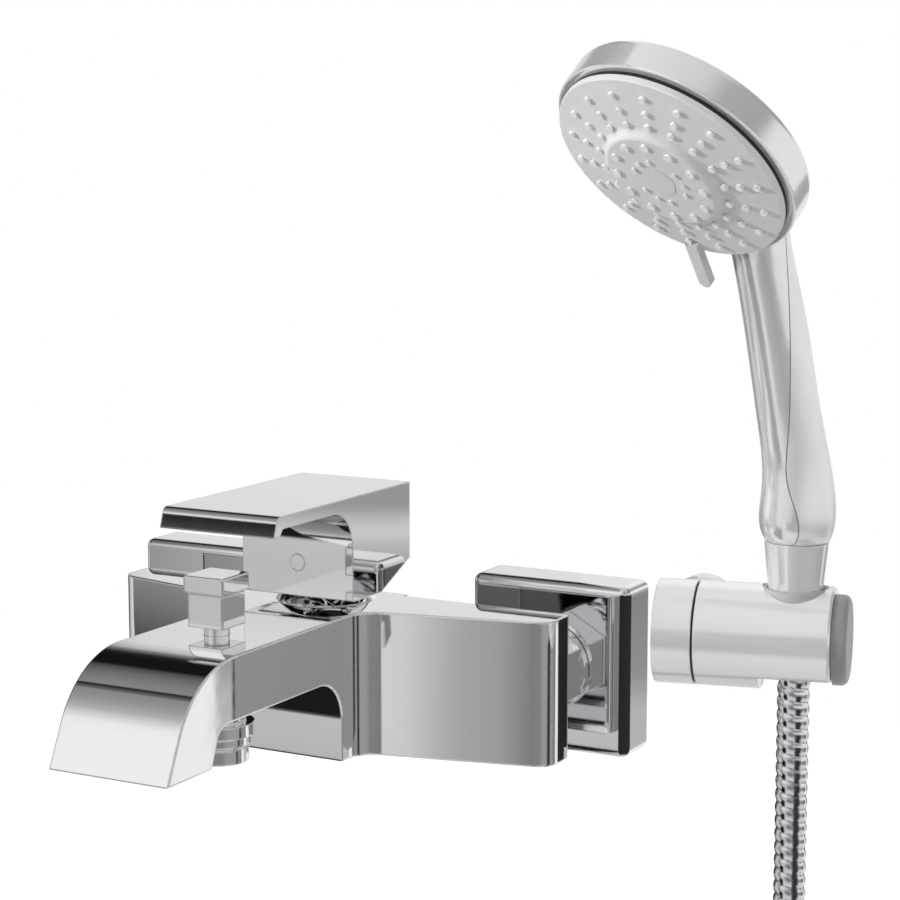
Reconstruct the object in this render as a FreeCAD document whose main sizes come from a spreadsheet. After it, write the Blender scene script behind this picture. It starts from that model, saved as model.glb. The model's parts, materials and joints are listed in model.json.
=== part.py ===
"""Wall-mounted bath and shower mixer with a square spout, and its hand shower on a wall bracket.

Millimetres and degrees. The origin lies midway between the two wall inlets, on the finished wall:
+X runs to the right along the wall, +Y into the wall and +Z up, so the mixer stands in -Y.
"""
import FreeCAD, Part
import Sketcher
import math
import os
import re
from FreeCAD import Placement, Rotation, Vector

document = FreeCAD.newDocument("ShowerMixer")
sheet = document.addObject("Spreadsheet::Sheet", "Sizes")
pieces = []

# Driving dimensions of the mixer
MIXER_SIZES = {
    "inlet_spacing": 150.0,
    "half_inch_thread": 20.96,
    "three_quarter_thread": 26.44,
    "running_gap": 0.3,
    "fit_gap": 0.05,
    "wall_thread_length": 20.0,
    "thread_relief": 0.5,
    "thread_relief_depth": 0.6,
    "union_bore": 13.0,
    "union_shoulder": 3.2,
    "union_shoulder_radius": 14.5,
    "union_flats": 30.0,
    "union_nut_length": 17.0,
    "union_rim_radius": 16.6,
    "union_rim_thickness": 3.0,
    "inlet_neck_radius": 10.0,
    "inlet_neck_length": 4.4,
    "inlet_flange_radius": 12.4,
    "inlet_flange_thickness": 2.0,
    "washer_thickness": 1.6,
    "check_valve_radius": 7.4,
    "check_valve_length": 9.0,
    "escutcheon_side": 63.6,
    "escutcheon_depth": 18.4,
    "escutcheon_wall": 1.6,
    "escutcheon_corner": 3.2,
    "escutcheon_edge": 3.0,
    "body_top": 24.3,
    "body_bottom": 28.4,
    "arm_back": 36.2,
    "arm_end_front": 52.9,
    "arm_root_front": 67.9,
    "arm_reach": 92.6,
    "arm_end_radius": 8.0,
    "arm_back_radius": 2.5,
    "arm_root_radius": 10.0,
    "core_back": 33.0,
    "leg_front": 80.2,
    "spout_width": 47.5,
    "spout_reach": 186.7,
    "spout_tip_drop": 10.9,
    "spout_nose_setback": 16.1,
    "spout_nose_radius": 36.0,
    "spout_lip_depth": 25.0,
    "spout_underside": 2.2,
    "spout_heel_setback": 4.9,
    "spout_heel_radius": 7.0,
    "arch_radius": 15.0,
    "body_edge": 0.6,
    "spout_wall": 4.2,
    "spout_floor": 4.2,
    "mouth_wall": 3.4,
    "mouth_front_wall": 3.6,
    "strainer_plate": 6.0,
    "mouth_slots": 7.0,
    "mouth_slot_width": 3.6,
    "lever_axis_out": 52.0,
    "lever_pivot_up": 10.0,
    "cartridge_radius": 16.0,
    "cartridge_floor": 16.0,
    "cartridge_wall": 1.5,
    "housing_top": 17.0,
    "base_thickness": 6.0,
    "disc_thickness": 3.6,
    "moving_disc_radius": 9.0,
    "port_radius": 3.0,
    "port_spacing": 6.5,
    "carrier_slot": 8.6,
    "pivot_pin_radius": 1.5,
    "spindle_side": 8.0,
    "spindle_top": 46.0,
    "finger_radius": 2.2,
    "retaining_nut_top": 24.0,
    "collar_radius": 23.5,
    "collar_wall": 1.5,
    "collar_mouth": 14.0,
    "duct_radius": 4.0,
    "duct_level": 21.0,
    "inlet_axis_depth": 46.5,
    "chamber_wall": 3.4,
    "chamber_start": 36.0,
    "chamber_end": 86.0,
    "chamber_depth": 11.0,
    "riser_out": 73.0,
    "riser_radius": 3.4,
    "lever_width": 47.0,
    "lever_top": 66.4,
    "lever_back": 30.8,
    "lever_front": 120.8,
    "lever_plate": 4.5,
    "lever_lip_bottom": 59.3,
    "lever_lip_thickness": 3.4,
    "lever_lip_slant": 2.3,
    "lever_nose_radius": 3.0,
    "hub_front": 71.8,
    "hub_bottom": 28.4,
    "hub_arch_radius": 14.0,
    "hub_heel": 51.9,
    "hub_heel_rise": 9.5,
    "hub_wall": 3.0,
    "hub_cavity_top": 38.0,
    "lever_screw_up": 40.6,
    "lever_screw_radius": 2.5,
    "screw_cap_radius": 3.1,
    "screw_cap_length": 3.0,
    "diverter_out": 123.5,
    "knob_gap": 3.3,
    "knob_block_side": 14.4,
    "knob_block_height": 12.0,
    "knob_cap_side": 16.4,
    "knob_cap_height": 5.9,
    "knob_step": 0.8,
    "diverter_rod_radius": 4.4,
    "bonnet_radius": 7.5,
    "bonnet_drop": 1.5,
    "rod_seal_height": 1.6,
    "rod_seal_wall": 2.0,
    "valve_radius": 9.2,
    "valve_thickness": 1.6,
    "valve_seal_thickness": 1.2,
    "outlet_flange_radius": 12.5,
    "outlet_step_radius": 11.6,
    "outlet_neck_radius": 9.6,
    "outlet_bore_radius": 6.5,
    "outlet_shank_bottom": 6.0,
    "outlet_flange_bottom": 10.4,
    "outlet_step_bottom": 13.4,
    "outlet_groove_bottom": 14.6,
    "outlet_bottom": 19.6,
}

# Driving dimensions of the wall bracket, the hand shower and the hose
SHOWER_SIZES = {
    "holder_x": 174.5,
    "holder_out": 30.0,
    "holder_up": 23.5,
    "barrel_yaw": 13.6,
    "barrel_radius": 18.1,
    "seam_left": 32.6,
    "seam_width": 0.8,
    "fixed_barrel_length": 13.5,
    "barrel_right": 13.5,
    "barrel_edge": 0.7,
    "barrel_cut_up": 12.0,
    "barrel_cut_left": 11.0,
    "neck_radius": 6.3,
    "knuckle_back": 24.0,
    "post_radius": 8.0,
    "rosette_radius": 13.0,
    "rosette_depth": 7.0,
    "wall_disc_radius": 10.5,
    "wall_disc_thickness": 5.0,
    "wall_screw_radius": 2.1,
    "wall_screw_head_radius": 4.2,
    "wall_screw_length": 32.0,
    "grub_radius": 2.0,
    "spigot_radius": 9.0,
    "spigot_length": 12.0,
    "pivot_bolt_radius": 3.0,
    "pivot_bolt_head_radius": 5.5,
    "pivot_bolt_head_height": 3.5,
    "end_cap_radius": 15.5,
    "end_cap_thickness": 5.2,
    "end_cap_edge": 2.4,
    "end_cap_plug_radius": 7.0,
    "end_cap_plug_length": 1.6,
    "holder_wall": 1.3,
    "slot_flare": 19.0,
    "nut_top": 33.5,
    "nut_waist": 20.0,
    "nut_top_radius": 11.0,
    "nut_waist_radius": 9.6,
    "nut_foot_radius": 8.9,
    "nut_foot": 1.4,
    "ball_radius": 6.9,
    "ball_neck": 3.5,
    "handset_thread": 16.6,
    "handset_thread_length": 9.0,
    "tail_radius": 4.6,
    "tail_bore": 3.0,
    "tail_flange": 1.0,
    "tail_flange_radius": 7.7,
    "hose_radius": 5.65,
    "hose_bore": 3.6,
    "hose_rib_pitch": 4.7,
    "hose_rib_depth": 0.75,
    "hose_drop": 188.0,
    "coil_radius": 70.0,
    "coil_step": 12.2,
    "coil_dip": 1.6,
    "coil_tail": 34.0,
    "end_nut_flats": 24.0,
    "end_nut_length": 16.0,
    "end_nut_bore": 20.96,
    "end_nut_lip": 4.0,
    "tie_width": 9.0,
    "tie_wall": 1.2,
    "handset_turn": 20.4,
    "foot_up": 33.6, "foot_forward": -0.5, "foot_radius": 10.6, "foot_lean": 0.0,
    "shoulder_up": 37.5, "shoulder_forward": 0.0, "shoulder_radius": 12.4, "shoulder_lean": 0.0,
    "belly_up": 51.5, "belly_forward": 0.0, "belly_radius": 12.3, "belly_lean": 5.0,
    "grip_up": 75.5, "grip_forward": 5.0, "grip_radius": 10.8, "grip_lean": 13.0,
    "middle_up": 106.5, "middle_forward": 12.7, "middle_radius": 10.4, "middle_lean": 15.5,
    "slim_up": 128.0, "slim_forward": 19.2, "slim_radius": 9.9, "slim_lean": 17.5,
    "throat_up": 140.0, "throat_forward": 23.2, "throat_radius": 10.2, "throat_lean": 21.0,
    "nape_up": 153.0, "nape_forward": 29.5, "nape_radius": 12.2, "nape_lean": 30.0,
    "crown_up": 165.5, "crown_forward": 39.0, "crown_radius": 15.0, "crown_lean": 45.0,
    "inner_up": 171.5, "inner_forward": 52.0, "inner_radius": 15.5, "inner_lean": 70.0,
    "head_forward": 65.4,
    "head_up": 159.8,
    "face_down": 46.2,
    "face_radius": 40.0,
    "face_edge": 2.2,
    "face_wall": 1.8,
    "face_step_foot": 3.0,
    "plateau_foot_radius": 21.6,
    "plateau_radius": 19.4,
    "plateau_height": 5.4,
    "face_boss_radius": 6.0,
    "face_boss_foot": 0.5,
    "face_screw_radius": 1.7,
    "face_screw_head_radius": 3.2,
    "face_screw_head": 1.6,
    "cap_thickness": 0.7,
    "centre_cap_radius": 5.6,
    "mat_thickness": 1.4,
    "mat_back": 3.2,
    "distributor_back": 6.2,
    "seal_radius": 39.7,
    "housing_front": 3.6,
    "rim_radius": 42.4,
    "rim_thickness": 14.5,
    "rim_edge": 0.7,
    "rim_round": 2.5,
    "dome_radius": 30.0,
    "dome_thickness": 21.0,
    "dome_round": 8.0,
    "crown_reach": 12.0,
    "crown_thickness": 25.0,
    "head_wall": 2.2,
    "nozzle_radius": 1.2,
    "nozzle_height": 1.1,
    "jet_height": 0.8,
    "nozzle_outer_ring": 34.4,
    "nozzle_middle_ring": 28.6,
    "nozzle_inner_ring": 23.4,
    "nozzle_spokes": 18.0,
    "massage_ring": 16.2,
    "massage_nozzles": 12.0,
    "massage_radius": 1.5,
    "jet_ring": 9.2,
    "jet_radius": 0.9,
    "selector_tab_reach": 57.0,
    "selector_tab_width": 4.5,
    "selector_tab_thickness": 3.0,
    "selector_tab_turn": 18.0,
    "handle_wall": 1.8,
    "waterway_radius": 5.0,
    "waterway_bore": 3.6,
    "split_foot": 8.7,
    "split_lean": 6.4,
    "split_gap": 0.35,
}


def size(name: str) -> float:
    """Return one driving dimension as the sheet holds it."""
    return float(sheet.get(name))


def fill_sheet() -> None:
    """Write every driving dimension into a cell of its own, with its name as the alias."""
    row = 1
    for group in (MIXER_SIZES, SHOWER_SIZES):
        for name, number in group.items():
            sheet.set(f"A{row}", name)
            sheet.set(f"B{row}", str(number))
            sheet.setAlias(f"B{row}", name)
            row += 1
    document.recompute()


def linked(text: str) -> str:
    """Point each size named in an expression at its cell of the sheet."""
    def cell(match):
        word = match.group(0)
        known = word in MIXER_SIZES or word in SHOWER_SIZES
        return f"Sizes.{word}" if known else word
    return re.sub(r"[A-Za-z_][A-Za-z_0-9]*", cell, text)


def bind(thing, **expressions: str) -> None:
    """Tie properties of an object to expressions of the named sizes."""
    for name, text in expressions.items():
        thing.setExpression(name, linked(text))


def number(text: str) -> float:
    """Work out an expression of named sizes, as a first guess for a sketch."""
    return float(sheet.evalExpression(linked(text)))


# Frames of the groups: the wall, the wall bracket, the hand shower and its tilted head
WALL = "placement(vector(0; 0; 0); rotationz(0))"
HOLDER = "placement(vector(holder_x; -holder_out; holder_up); rotationz(barrel_yaw))"
HANDSET = "placement(vector(holder_x; -holder_out; holder_up); rotationz(-handset_turn))"
HANGING = "placement(vector(holder_x; -holder_out; holder_up); rotationz(0))"
HEAD = HANDSET + " * placement(vector(0; -head_forward; head_up); rotationx(90 + face_down))"


def moved(frame: str, across: str, along: str, up: str, turn: str = "rotationz(0)") -> str:
    """Return a frame shifted and turned inside another frame."""
    return f"{frame} * placement(vector({across}; {along}; {up}); {turn})"


def publish(thing, node: str):
    """Name a finished piece and keep it for the export."""
    thing.Label = node
    pieces.append(thing)
    return thing


def new_body(node: str, frame: str = WALL):
    """Start a body for one piece in its group's frame."""
    body = document.addObject("PartDesign::Body", node)
    bind(body, Placement=frame)
    return publish(body, node)


def sketch_on(body, plane: str, offset: str = "0"):
    """Add a sketch to one of the body's own origin planes, shifted along the plane's normal."""
    sketch = body.newObject("Sketcher::SketchObject", "outline")
    origin_plane = [item for item in body.Origin.OriginFeatures if item.Role == plane + "_Plane"][0]
    sketch.AttachmentSupport = [(origin_plane, "")]
    sketch.MapMode = "FlatFace"
    sketch.setExpression("AttachmentOffset.Base.z", linked(offset))
    return sketch


class Rules:
    """Constraints of one sketch, gathered first and then added together with their expressions."""

    def __init__(self, sketch) -> None:
        self.sketch = sketch
        self.rules = []
        self.links = []

    def add(self, *parts) -> None:
        """Keep one constraint."""
        self.rules.append(Sketcher.Constraint(*parts))

    def measure(self, kind: str, places: tuple, text: str) -> None:
        """Keep one constraint whose value follows an expression of named sizes."""
        self.links.append((len(self.rules), text))
        self.add(kind, *places, number(text))

    def hold(self, geometry: int, point: int, across: str, up: str) -> None:
        """Keep a point at two named distances from the sketch's origin."""
        self.measure("DistanceX", (-1, 1, geometry, point), across)
        self.measure("DistanceY", (-1, 1, geometry, point), up)

    def settle(self) -> None:
        """Add all the constraints at once, then tie their values to the sheet."""
        start = self.sketch.ConstraintCount
        self.sketch.addConstraint(self.rules)
        for index, text in self.links:
            self.sketch.setExpression(f"Constraints[{start + index}]", linked(text))


def corner_arc(before: Vector, corner: Vector, after: Vector, radius: float) -> tuple:
    """Return where a rounded corner starts and ends, its arc and which of its ends comes first."""
    back, ahead = (before - corner).normalize(), (after - corner).normalize()
    half = back.getAngle(ahead) / 2
    arrive = corner + back * (radius / math.tan(half))
    leave = corner + ahead * (radius / math.tan(half))
    centre = corner + (back + ahead).normalize() * (radius / math.sin(half))
    first, last = arrive - centre, leave - centre
    low, high = math.atan2(first.y, first.x), math.atan2(last.y, last.x)
    sweep = (high - low) % (2 * math.pi)
    ends = (1, 2)
    if sweep > math.pi:
        low, sweep, ends = high, 2 * math.pi - sweep, (2, 1)
    ring = Part.Circle(centre, Vector(0, 0, 1), radius)
    return arrive, leave, Part.ArcOfCircle(ring, low, low + sweep), ends


def outline(sketch, corners: list) -> None:
    """Draw a closed outline of straight lines. A corner (across, up, radius) gets a tangent arc."""
    places = [Vector(number(corner[0]), number(corner[1]), 0) for corner in corners]
    count = len(corners)
    rounds = []
    for index, corner in enumerate(corners):
        if len(corner) > 2:
            after = places[(index + 1) % count]
            rounds.append(corner_arc(places[index - 1], places[index], after, number(corner[2])))
        else:
            rounds.append((places[index], places[index], None, None))
    lines = []
    for index in range(count):
        line = Part.LineSegment(rounds[index][1], rounds[(index + 1) % count][0])
        lines.append(sketch.addGeometry(line, False))
    rules = Rules(sketch)
    for index, corner in enumerate(corners):
        before, after = lines[index - 1], lines[index]
        if len(corner) == 2:
            rules.add("Coincident", before, 2, after, 1)
            rules.hold(after, 1, corner[0], corner[1])
            continue
        arc = sketch.addGeometry(rounds[index][2], False)
        point = sketch.addGeometry(Part.Point(places[index]), True)
        first, second = rounds[index][3]
        rules.add("Tangent", before, 2, arc, first)
        rules.add("Tangent", arc, second, after, 1)
        rules.add("PointOnObject", point, 1, before)
        rules.add("PointOnObject", point, 1, after)
        rules.measure("Radius", (arc,), corner[2])
        rules.hold(point, 1, corner[0], corner[1])
    rules.settle()


def circle(sketch, across: str, up: str, radius: str) -> None:
    """Draw a circle whose centre and radius follow named sizes."""
    shape = Part.Circle(Vector(number(across), number(up), 0), Vector(0, 0, 1), number(radius))
    ring = sketch.addGeometry(shape, False)
    rules = Rules(sketch)
    rules.measure("Radius", (ring,), radius)
    rules.hold(ring, 3, across, up)
    rules.settle()


def rectangle(left: str, low: str, right: str, high: str, radius: str = "") -> list:
    """Return the corners of a rectangle, rounded where a radius is given."""
    corners = [(left, low), (right, low), (right, high), (left, high)]
    return [corner + (radius,) for corner in corners] if radius else corners


def extrude(body, kind: str, sketch, length: str, way: str = "up"):
    """Pad or pocket a sketch: up or down its normal, or both ways from it."""
    feature = body.newObject("PartDesign::" + kind, kind.lower())
    feature.Profile = sketch
    bind(feature, Length=length)
    if way == "both":
        feature.SideType = "Symmetric"
    feature.Reversed = (way == "down") if kind == "Pad" else (way == "up")
    body.Tip = feature
    return feature


def slab(body, kind: str, plane: str, offset: str, corners: list, length: str, way: str = "up"):
    """Pad or pocket one outline from a plane of the body."""
    sketch = sketch_on(body, plane, offset)
    outline(sketch, corners)
    return extrude(body, kind, sketch, length, way)


def drill(body, plane: str, offset: str, centre: tuple, radius: str, length: str, way: str = "up"):
    """Pocket one round hole from a plane of the body."""
    sketch = sketch_on(body, plane, offset)
    circle(sketch, centre[0], centre[1], radius)
    return extrude(body, "Pocket", sketch, length, way)


def post(body, plane: str, offset: str, centre: tuple, radius: str, length: str, way: str = "up"):
    """Pad one round post from a plane of the body."""
    sketch = sketch_on(body, plane, offset)
    circle(sketch, centre[0], centre[1], radius)
    return extrude(body, "Pad", sketch, length, way)


def turn(body, kind: str, axis: str, profile: list):
    """Turn a profile of (along, radius) corners about the body's own X, Y or Z axis."""
    plane = {"X": "XY", "Y": "XY", "Z": "XZ"}[axis]
    sketch = sketch_on(body, plane)
    corners = profile if axis == "X" else [(corner[1], corner[0]) + corner[2:] for corner in profile]
    outline(sketch, corners)
    feature = body.newObject("PartDesign::" + kind, kind.lower())
    feature.Profile = sketch
    feature.ReferenceAxis = (sketch, ["H_Axis" if axis == "X" else "V_Axis"])
    feature.Angle = 360.0
    body.Tip = feature
    return feature


def turned(node: str, axis: str, profile: list, frame: str = WALL):
    """Make a turned piece in a group's frame."""
    body = new_body(node, frame)
    turn(body, "Revolution", axis, profile)
    return body


def sleeve(start: str, end: str, outer: str, inner: str) -> list:
    """Return the profile of a plain tube."""
    return [(start, inner), (end, inner), (end, outer), (start, outer)]


def rod(start: str, end: str, radius: str) -> list:
    """Return the profile of a plain round bar."""
    return [(start, "0"), (end, "0"), (end, radius), (start, radius)]


def hexagon(flats: str) -> list:
    """Return the corners of a hexagon with its flats to the left and right."""
    half, corner, side = f"{flats} / 2", f"{flats} / 2 / cos(30)", f"{flats} / 2 * tan(30)"
    return [
        (half, side), ("0", corner), (f"-{half}", side),
        (f"-{half}", f"-{side}"), ("0", f"-{corner}"), (half, f"-{side}"),
    ]


def soften(body, radius: str, wanted) -> None:
    """Round the straight and curved edges that a test of their middle points picks."""
    document.recompute()
    names = []
    for index, edge in enumerate(body.Tip.Shape.Edges):
        if wanted(edge):
            names.append(f"Edge{index + 1}")
    base = body.Tip
    feature = body.newObject("PartDesign::Fillet", "fillet")
    feature.Base = (base, names)
    bind(feature, Radius=radius)
    body.Tip = feature


def wall_side(name: str, sign: int) -> None:
    """Make what stands between the wall and one arm of the mixer: union, nut, washer and cover."""
    frame = moved(WALL, f"{sign} * inlet_spacing / 2", "0", "0")
    seal = "(inlet_neck_length + inlet_flange_thickness)"
    union_end = f"-(arm_back - {seal} - washer_thickness)"
    union = new_body("wall_union_" + name, frame)
    turn(union, "Revolution", "Y", [
        (union_end, "union_bore / 2"), ("wall_thread_length", "union_bore / 2"),
        ("wall_thread_length", "half_inch_thread / 2"), ("thread_relief", "half_inch_thread / 2"),
        ("thread_relief", "half_inch_thread / 2 - thread_relief_depth"),
        ("0", "half_inch_thread / 2 - thread_relief_depth"), ("0", "union_shoulder_radius"), ("-union_shoulder", "union_shoulder_radius"),
        ("-union_shoulder", "three_quarter_thread / 2"), (union_end, "three_quarter_thread / 2"),
    ])

    nut = new_body("union_nut_" + name, frame)
    nut_front = "arm_back - running_gap"
    sketch = sketch_on(nut, "XZ", nut_front)
    outline(sketch, hexagon("union_flats"))
    extrude(nut, "Pad", sketch, "union_nut_length - union_rim_thickness", "down")
    post(nut, "XZ", f"{nut_front} - union_nut_length", ("0", "0"), "union_rim_radius",
         "union_rim_thickness", "up")
    drill(nut, "XZ", "arm_back - inlet_neck_length + fit_gap", ("0", "0"),
          "three_quarter_thread / 2 + fit_gap", "union_nut_length", "down")
    drill(nut, "XZ", nut_front, ("0", "0"), "inlet_neck_radius + fit_gap", "union_nut_length", "down")

    washer_face = f"-(arm_back - {seal})"
    turned("union_washer_" + name, "Y", sleeve(
        washer_face, f"{washer_face} + washer_thickness", "inlet_flange_radius", "union_bore / 2",
    ), frame)
    turned("check_valve_" + name, "Y", sleeve(
        f"{washer_face} - 0.2", f"{washer_face} - 0.2 - check_valve_length",
        "check_valve_radius", "check_valve_radius / 3",
    ), frame)

    cover = new_body("escutcheon_" + name, frame)
    half = "escutcheon_side / 2"
    sketch = sketch_on(cover, "XZ", "0")
    outline(sketch, rectangle(f"-{half}", f"-{half}", half, half, "escutcheon_corner"))
    extrude(cover, "Pad", sketch, "escutcheon_depth", "up")
    depth = size("escutcheon_depth")
    soften(cover, "escutcheon_edge", lambda edge: abs(edge.CenterOfMass.y + depth) < 0.01)
    inner = "escutcheon_side / 2 - escutcheon_wall"
    slab(cover, "Pocket", "XZ", "0", rectangle(
        f"-({inner})", f"-({inner})", inner, inner, "escutcheon_corner - escutcheon_wall / 2",
    ), "escutcheon_depth - escutcheon_wall", "up")
    drill(cover, "XZ", "0", ("0", "0"), "three_quarter_thread / 2 + fit_gap", "escutcheon_depth", "up")


def mixer_body() -> None:
    """Make the casting: two arms that sweep back, the leg, the spout, its ducts and its bores."""
    body = new_body("mixer_body")
    half = "spout_width / 2"
    plan = sketch_on(body, "XY", "-body_bottom")
    outline(plan, [
        (half, "-leg_front"), (half, "-arm_root_front", "arm_root_radius"),
        ("arm_reach", "-arm_end_front", "arm_end_radius"), ("arm_reach", "-arm_back", "arm_back_radius"),
        ("-arm_reach", "-arm_back", "arm_back_radius"),
        ("-arm_reach", "-arm_end_front", "arm_end_radius"),
        (f"-{half}", "-arm_root_front", "arm_root_radius"), (f"-{half}", "-leg_front"),
    ])
    extrude(body, "Pad", plan, "body_bottom + body_top", "up")
    side = sketch_on(body, "YZ")
    outline(side, [
        ("-core_back", "body_top"),
        ("-(spout_reach - spout_nose_setback)", "body_top", "spout_nose_radius"),
        ("-spout_reach", "-spout_tip_drop"), ("-(spout_reach - spout_lip_depth)", "-spout_tip_drop"),
        ("-(spout_reach - spout_lip_depth - spout_heel_setback)", "spout_underside", "spout_heel_radius"),
        ("-leg_front", "spout_underside", "arch_radius"), ("-leg_front", "-body_bottom"),
        ("-core_back", "-body_bottom"),
    ])
    extrude(body, "Pad", side, "spout_width", "both")

    top, bottom, flank = size("body_top"), -size("body_bottom"), size("spout_width") / 2
    leg = -size("leg_front")

    def rim(edge) -> bool:
        """Tell whether an edge runs round the casting's flat top or bottom, or along the spout's flank."""
        box = edge.BoundBox
        on_face = box.ZLength < 0.01 and min(abs(box.ZMax - top), abs(box.ZMax - bottom)) < 0.01
        on_seam = box.XLength > 40 and box.YMax < leg - 10
        on_flank = box.XLength < 0.01 and abs(abs(box.XMin) - flank) < 0.01 and box.YMax < leg + 0.2
        return (on_face and not on_seam) or (on_flank and box.YMin < leg - 0.5)
    soften(body, "body_edge", rim)

    for sign in (-1, 1):
        centre = f"{sign} * inlet_spacing / 2"
        drill(body, "XZ", "arm_back - 1", (centre, "0"), "check_valve_radius + fit_gap",
              "chamber_wall + 2", "up")
        neck = sketch_on(body, "XZ", "arm_back + 1")
        circle(neck, centre, "0", "inlet_neck_radius")
        circle(neck, centre, "0", "check_valve_radius + fit_gap")
        extrude(body, "Pad", neck, "inlet_neck_length + 1", "down")
        flange = sketch_on(body, "XZ", "arm_back - inlet_neck_length")
        circle(flange, centre, "0", "inlet_flange_radius")
        circle(flange, centre, "0", "check_valve_radius + fit_gap")
        extrude(body, "Pad", flange, "inlet_flange_thickness", "down")
        slab(body, "Pocket", "YZ", f"{sign} * chamber_start", rectangle(
            "-(arm_back + chamber_wall + chamber_depth)", "-(body_bottom - chamber_wall)",
            "-(arm_back + chamber_wall)", "body_top - chamber_wall", "2.5",
        ), "chamber_end - chamber_start", "up" if sign > 0 else "down")
        drill(body, "YZ", f"{sign} * (chamber_start + 2)", ("-inlet_axis_depth", "-duct_level"),
              "duct_radius", "chamber_start + 2 - port_spacing + port_radius",
              "down" if sign > 0 else "up")
        drill(body, "XY", "-cartridge_floor + 1", (f"{sign} * port_spacing", "-(lever_axis_out - 2.5)"),
              "port_radius", "duct_level - cartridge_floor + 1", "down")

    drill(body, "XY", "-cartridge_floor", ("0", "-lever_axis_out"), "cartridge_radius + fit_gap",
          "body_top + cartridge_floor + 1", "up")
    drill(body, "XY", "-cartridge_floor + 1", ("0", "-(lever_axis_out + port_spacing)"), "port_radius",
          "duct_level - cartridge_floor + 3", "down")
    slab(body, "Pocket", "YZ", "0", rectangle(
        "-(riser_out + riser_radius)", "-(duct_level + 3)", "-(lever_axis_out + 6)", "-(duct_level - 3)",
    ), "riser_radius * 2", "both")
    drill(body, "XY", "-duct_level", ("0", "-riser_out"), "riser_radius",
          "duct_level + body_top - spout_wall", "up")
    channel_top, channel_floor = "body_top - spout_wall", "spout_underside + spout_floor"
    slab(body, "Pocket", "YZ", "0", [
        ("-riser_out", channel_top),
        ("-(spout_reach - spout_nose_setback - 3)", channel_top, "spout_nose_radius - spout_wall"),
        ("-(spout_reach - mouth_front_wall)", "-spout_tip_drop"),
        ("-(spout_reach - spout_lip_depth + mouth_wall)", "-spout_tip_drop"),
        ("-(spout_reach - spout_lip_depth - spout_heel_setback + mouth_wall - 1)", channel_floor),
        ("-riser_out", channel_floor),
    ], "spout_width - spout_wall * 2", "both")
    drill(body, "XY", channel_top + " - 1", ("0", "-diverter_out"), "diverter_rod_radius + 2 * fit_gap",
          "spout_wall + 2", "up")
    drill(body, "XY", "spout_underside - 1", ("0", "-diverter_out"), "outlet_bore_radius",
          "spout_floor + 2", "up")


def spout_parts() -> None:
    """Make the slotted flow straightener in the spout's mouth."""
    body = new_body("flow_straightener")
    high = "-spout_tip_drop + strainer_plate"
    front, back = "-(spout_reach - mouth_front_wall - running_gap)", "spout_reach - spout_lip_depth + mouth_wall"
    sketch = sketch_on(body, "YZ")
    outline(sketch, [
        (front, "-spout_tip_drop"), (f"-({back} + running_gap)", "-spout_tip_drop"),
        (f"-({back} + running_gap - 1.2)", high), (f"{front} + 3", high),
    ])
    extrude(body, "Pad", sketch, "spout_width - spout_wall * 2 - running_gap * 2", "both")
    room = "(spout_width - spout_wall * 2)"
    slot = sketch_on(body, "XY", "-spout_tip_drop - 1")
    low = f"-{room} / 2 + {room} / mouth_slots / 2"
    for index in range(int(size("mouth_slots"))):
        middle = f"{low} + {index} * {room} / mouth_slots"
        outline(slot, rectangle(
            f"{middle} - mouth_slot_width / 2", "-(spout_reach - mouth_front_wall - 4)",
            f"{middle} + mouth_slot_width / 2", f"-({back} + 2)",
        ))
    extrude(body, "Pocket", slot, "strainer_plate + 2", "up")


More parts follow.
